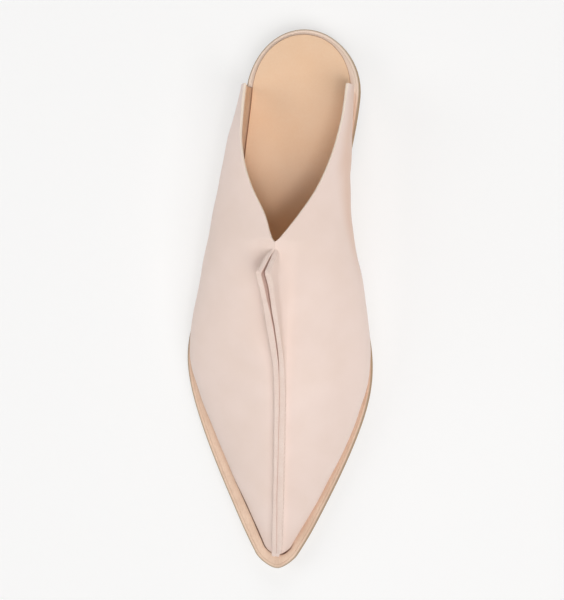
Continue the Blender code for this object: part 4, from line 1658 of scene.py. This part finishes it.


def tab_section(half, thickness):
    """A flat oval with a shallow groove along its top where the plies meet."""
    ring = []
    for k in range(TAB_CORNERS):
        turn = 2 * math.pi * k / TAB_CORNERS
        across, up = math.cos(turn), math.sin(turn)
        reach = (abs(across) ** TAB_SQUARENESS + abs(up) ** TAB_SQUARENESS) ** (-1 / TAB_SQUARENESS)
        across, up = half * across * reach, up * reach
        groove = TAB_GROOVE_DEPTH * math.exp(-((across / TAB_GROOVE_WIDTH) ** 2)) if up > 0 else 0
        ring.append((across, thickness * (0.5 + 0.5 * up - groove)))
    return ring


def make_tab():
    """Ovals along the path, each square to it."""
    path = np.array([(station, tread_height(station) + WELT_RISE + rise) for station, rise, *_ in TAB_PATH])
    along = np.gradient(path, axis=0)
    along /= np.hypot(*along.T)[:, None]
    rings = []
    for (station, height), (ahead, rise), (*_, half, thickness) in zip(path, along, TAB_PATH):
        oval = tab_section(half, thickness)
        rings.append([(TAB_REACH + x, station + up * rise, height - up * ahead) for x, up in oval])
    facts = {"from_foot": np.full((len(rings), TAB_CORNERS), TAB_FROM_FOOT)}
    tab = loft("toe_tab", rings, facts, materials=[blush_leather])
    close_holes(tab)
    return tab


toe_tab = make_tab()
print("toe tab has", triangles(toe_tab), "triangles")

# %% [markdown]
# ## Geometry Nodes: stitches along the seam
# A row of stitches repeats one small thing along a path, so a node tree makes it. The path is a
# run of points on a ply's face. The tree resamples it to the stitch's pitch and puts a short
# thread on each point, turned along the path. The thread is a bead of a few dozen faces, drawn
# out to the stitch's length.

# %% The stitching tree
STITCH_SIZES = {"Pitch": 0.0024, "Stitch length": 0.0016, "Thread width": 0.00034}  # metres


def make_stitch_tree():
    """Beads along a path, a pitch apart."""
    graph, given = new_tree("row_of_stitches", STITCH_SIZES)
    path = graph.wire("GeometryNodeMeshToCurve", None, {"Mesh": given["Geometry"]})
    points = graph.wire(
        "GeometryNodeResampleCurve", {"mode": "LENGTH"}, {"Curve": path, "Length": given["Pitch"]}
    )
    bead = graph.wire("GeometryNodeMeshUVSphere", None, {"Segments": 8, "Rings": 6, "Radius": 0.5})
    size = graph.wire(
        "ShaderNodeCombineXYZ",
        None,
        {"X": given["Thread width"], "Y": given["Thread width"], "Z": given["Stitch length"]},
    )
    thread = graph.wire("GeometryNodeTransform", None, {"Geometry": bead, "Scale": size})
    tangent = graph.wire("GeometryNodeInputTangent")
    turned = graph.wire("FunctionNodeAlignRotationToVector", {"axis": "Z"}, {"Vector": tangent})
    row = graph.wire(
        "GeometryNodeInstanceOnPoints", None, {"Points": points, "Instance": thread, "Rotation": turned}
    )
    return end_tree(graph, row, given["Material"])


def path_object(name, places):
    """A run of points as a mesh of edges, for a tree to follow."""
    mesh = bpy.data.meshes.new(name)
    edges = [(i, i + 1) for i in range(len(places) - 1)]
    mesh.from_pydata([point(*place) for place in places], edges, [])
    return new_object(name, mesh)


stitch_tree = make_stitch_tree()

# %% Rows of stitches on both plies
STITCH_RISE = 1.05  # how far above the seam's line the thread goes through the plies
STITCH_SHARE = 0.45  # and no higher than this share of a ply's height
THREAD_PROUD = 0.01
STITCH_ROWS = {LATERAL: (12.0, 124.0), MEDIAL: (12.0, 96.0)}


def make_thread():
    material, graph, shader = start_material("linen_thread")
    twist = graph.noise(graph.place(), 2500.0, 2.0)
    colour = graph.mix(twist.above(0.35, 0.65), srgb(226, 202, 188), srgb(240, 220, 208))
    plug(graph, shader, Base_Color=colour)
    shader.inputs["Roughness"].default_value = 0.7
    return material


def stitch_row(side):
    """The path on one ply, and the row that the tree makes of it."""
    start, end = STITCH_ROWS[side]
    places = []
    for station in np.arange(start, end, 1.0):
        plies = Plies(station)
        rise = min(STITCH_RISE, STITCH_SHARE * plies.height)
        reach = SIDE_SIGN[side] * (plies.face(side, rise) + THREAD_PROUD)
        places.append((reach, station, plies.base + rise))
    made = run_tree(path_object("stitches_" + side, places), stitch_tree, linen_thread)
    soften(made.data)
    return made


linen_thread = make_thread()
stitches = [stitch_row(side) for side in (LATERAL, MEDIAL)]
print("stitches have", [triangles(row) for row in stitches], "triangles")

# %% [markdown]
# ## Onto the frame
# Every piece rides on the one body and stands for the imported solid that it dresses, which is
# hidden.

# %% Ride and replace
dressed = [
    # piece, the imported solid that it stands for, finish
    (outsole, "outsole", "sole_leather"),
    (welt, "midsole_welt", "welt_leather"),
    (insole, "insole", "insole_leather"),
    (top_piece, "heel_top_piece", "heel_rubber"),
    (lower_lift, "heel_lift_1", "lift_leather"),
    (upper_lift, "heel_lift_2", "lift_leather"),
]
upper_pieces = [*panels.values(), *linings.values(), toe_tab, *stitches]
dressed += [(piece, "upper", "upper_leather") for piece in upper_pieces]
for piece, node, slot in dressed:
    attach(piece, "root")
    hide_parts(node)

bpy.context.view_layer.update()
print("triangles in all", sum(triangles(piece) for piece, node, slot in dressed))
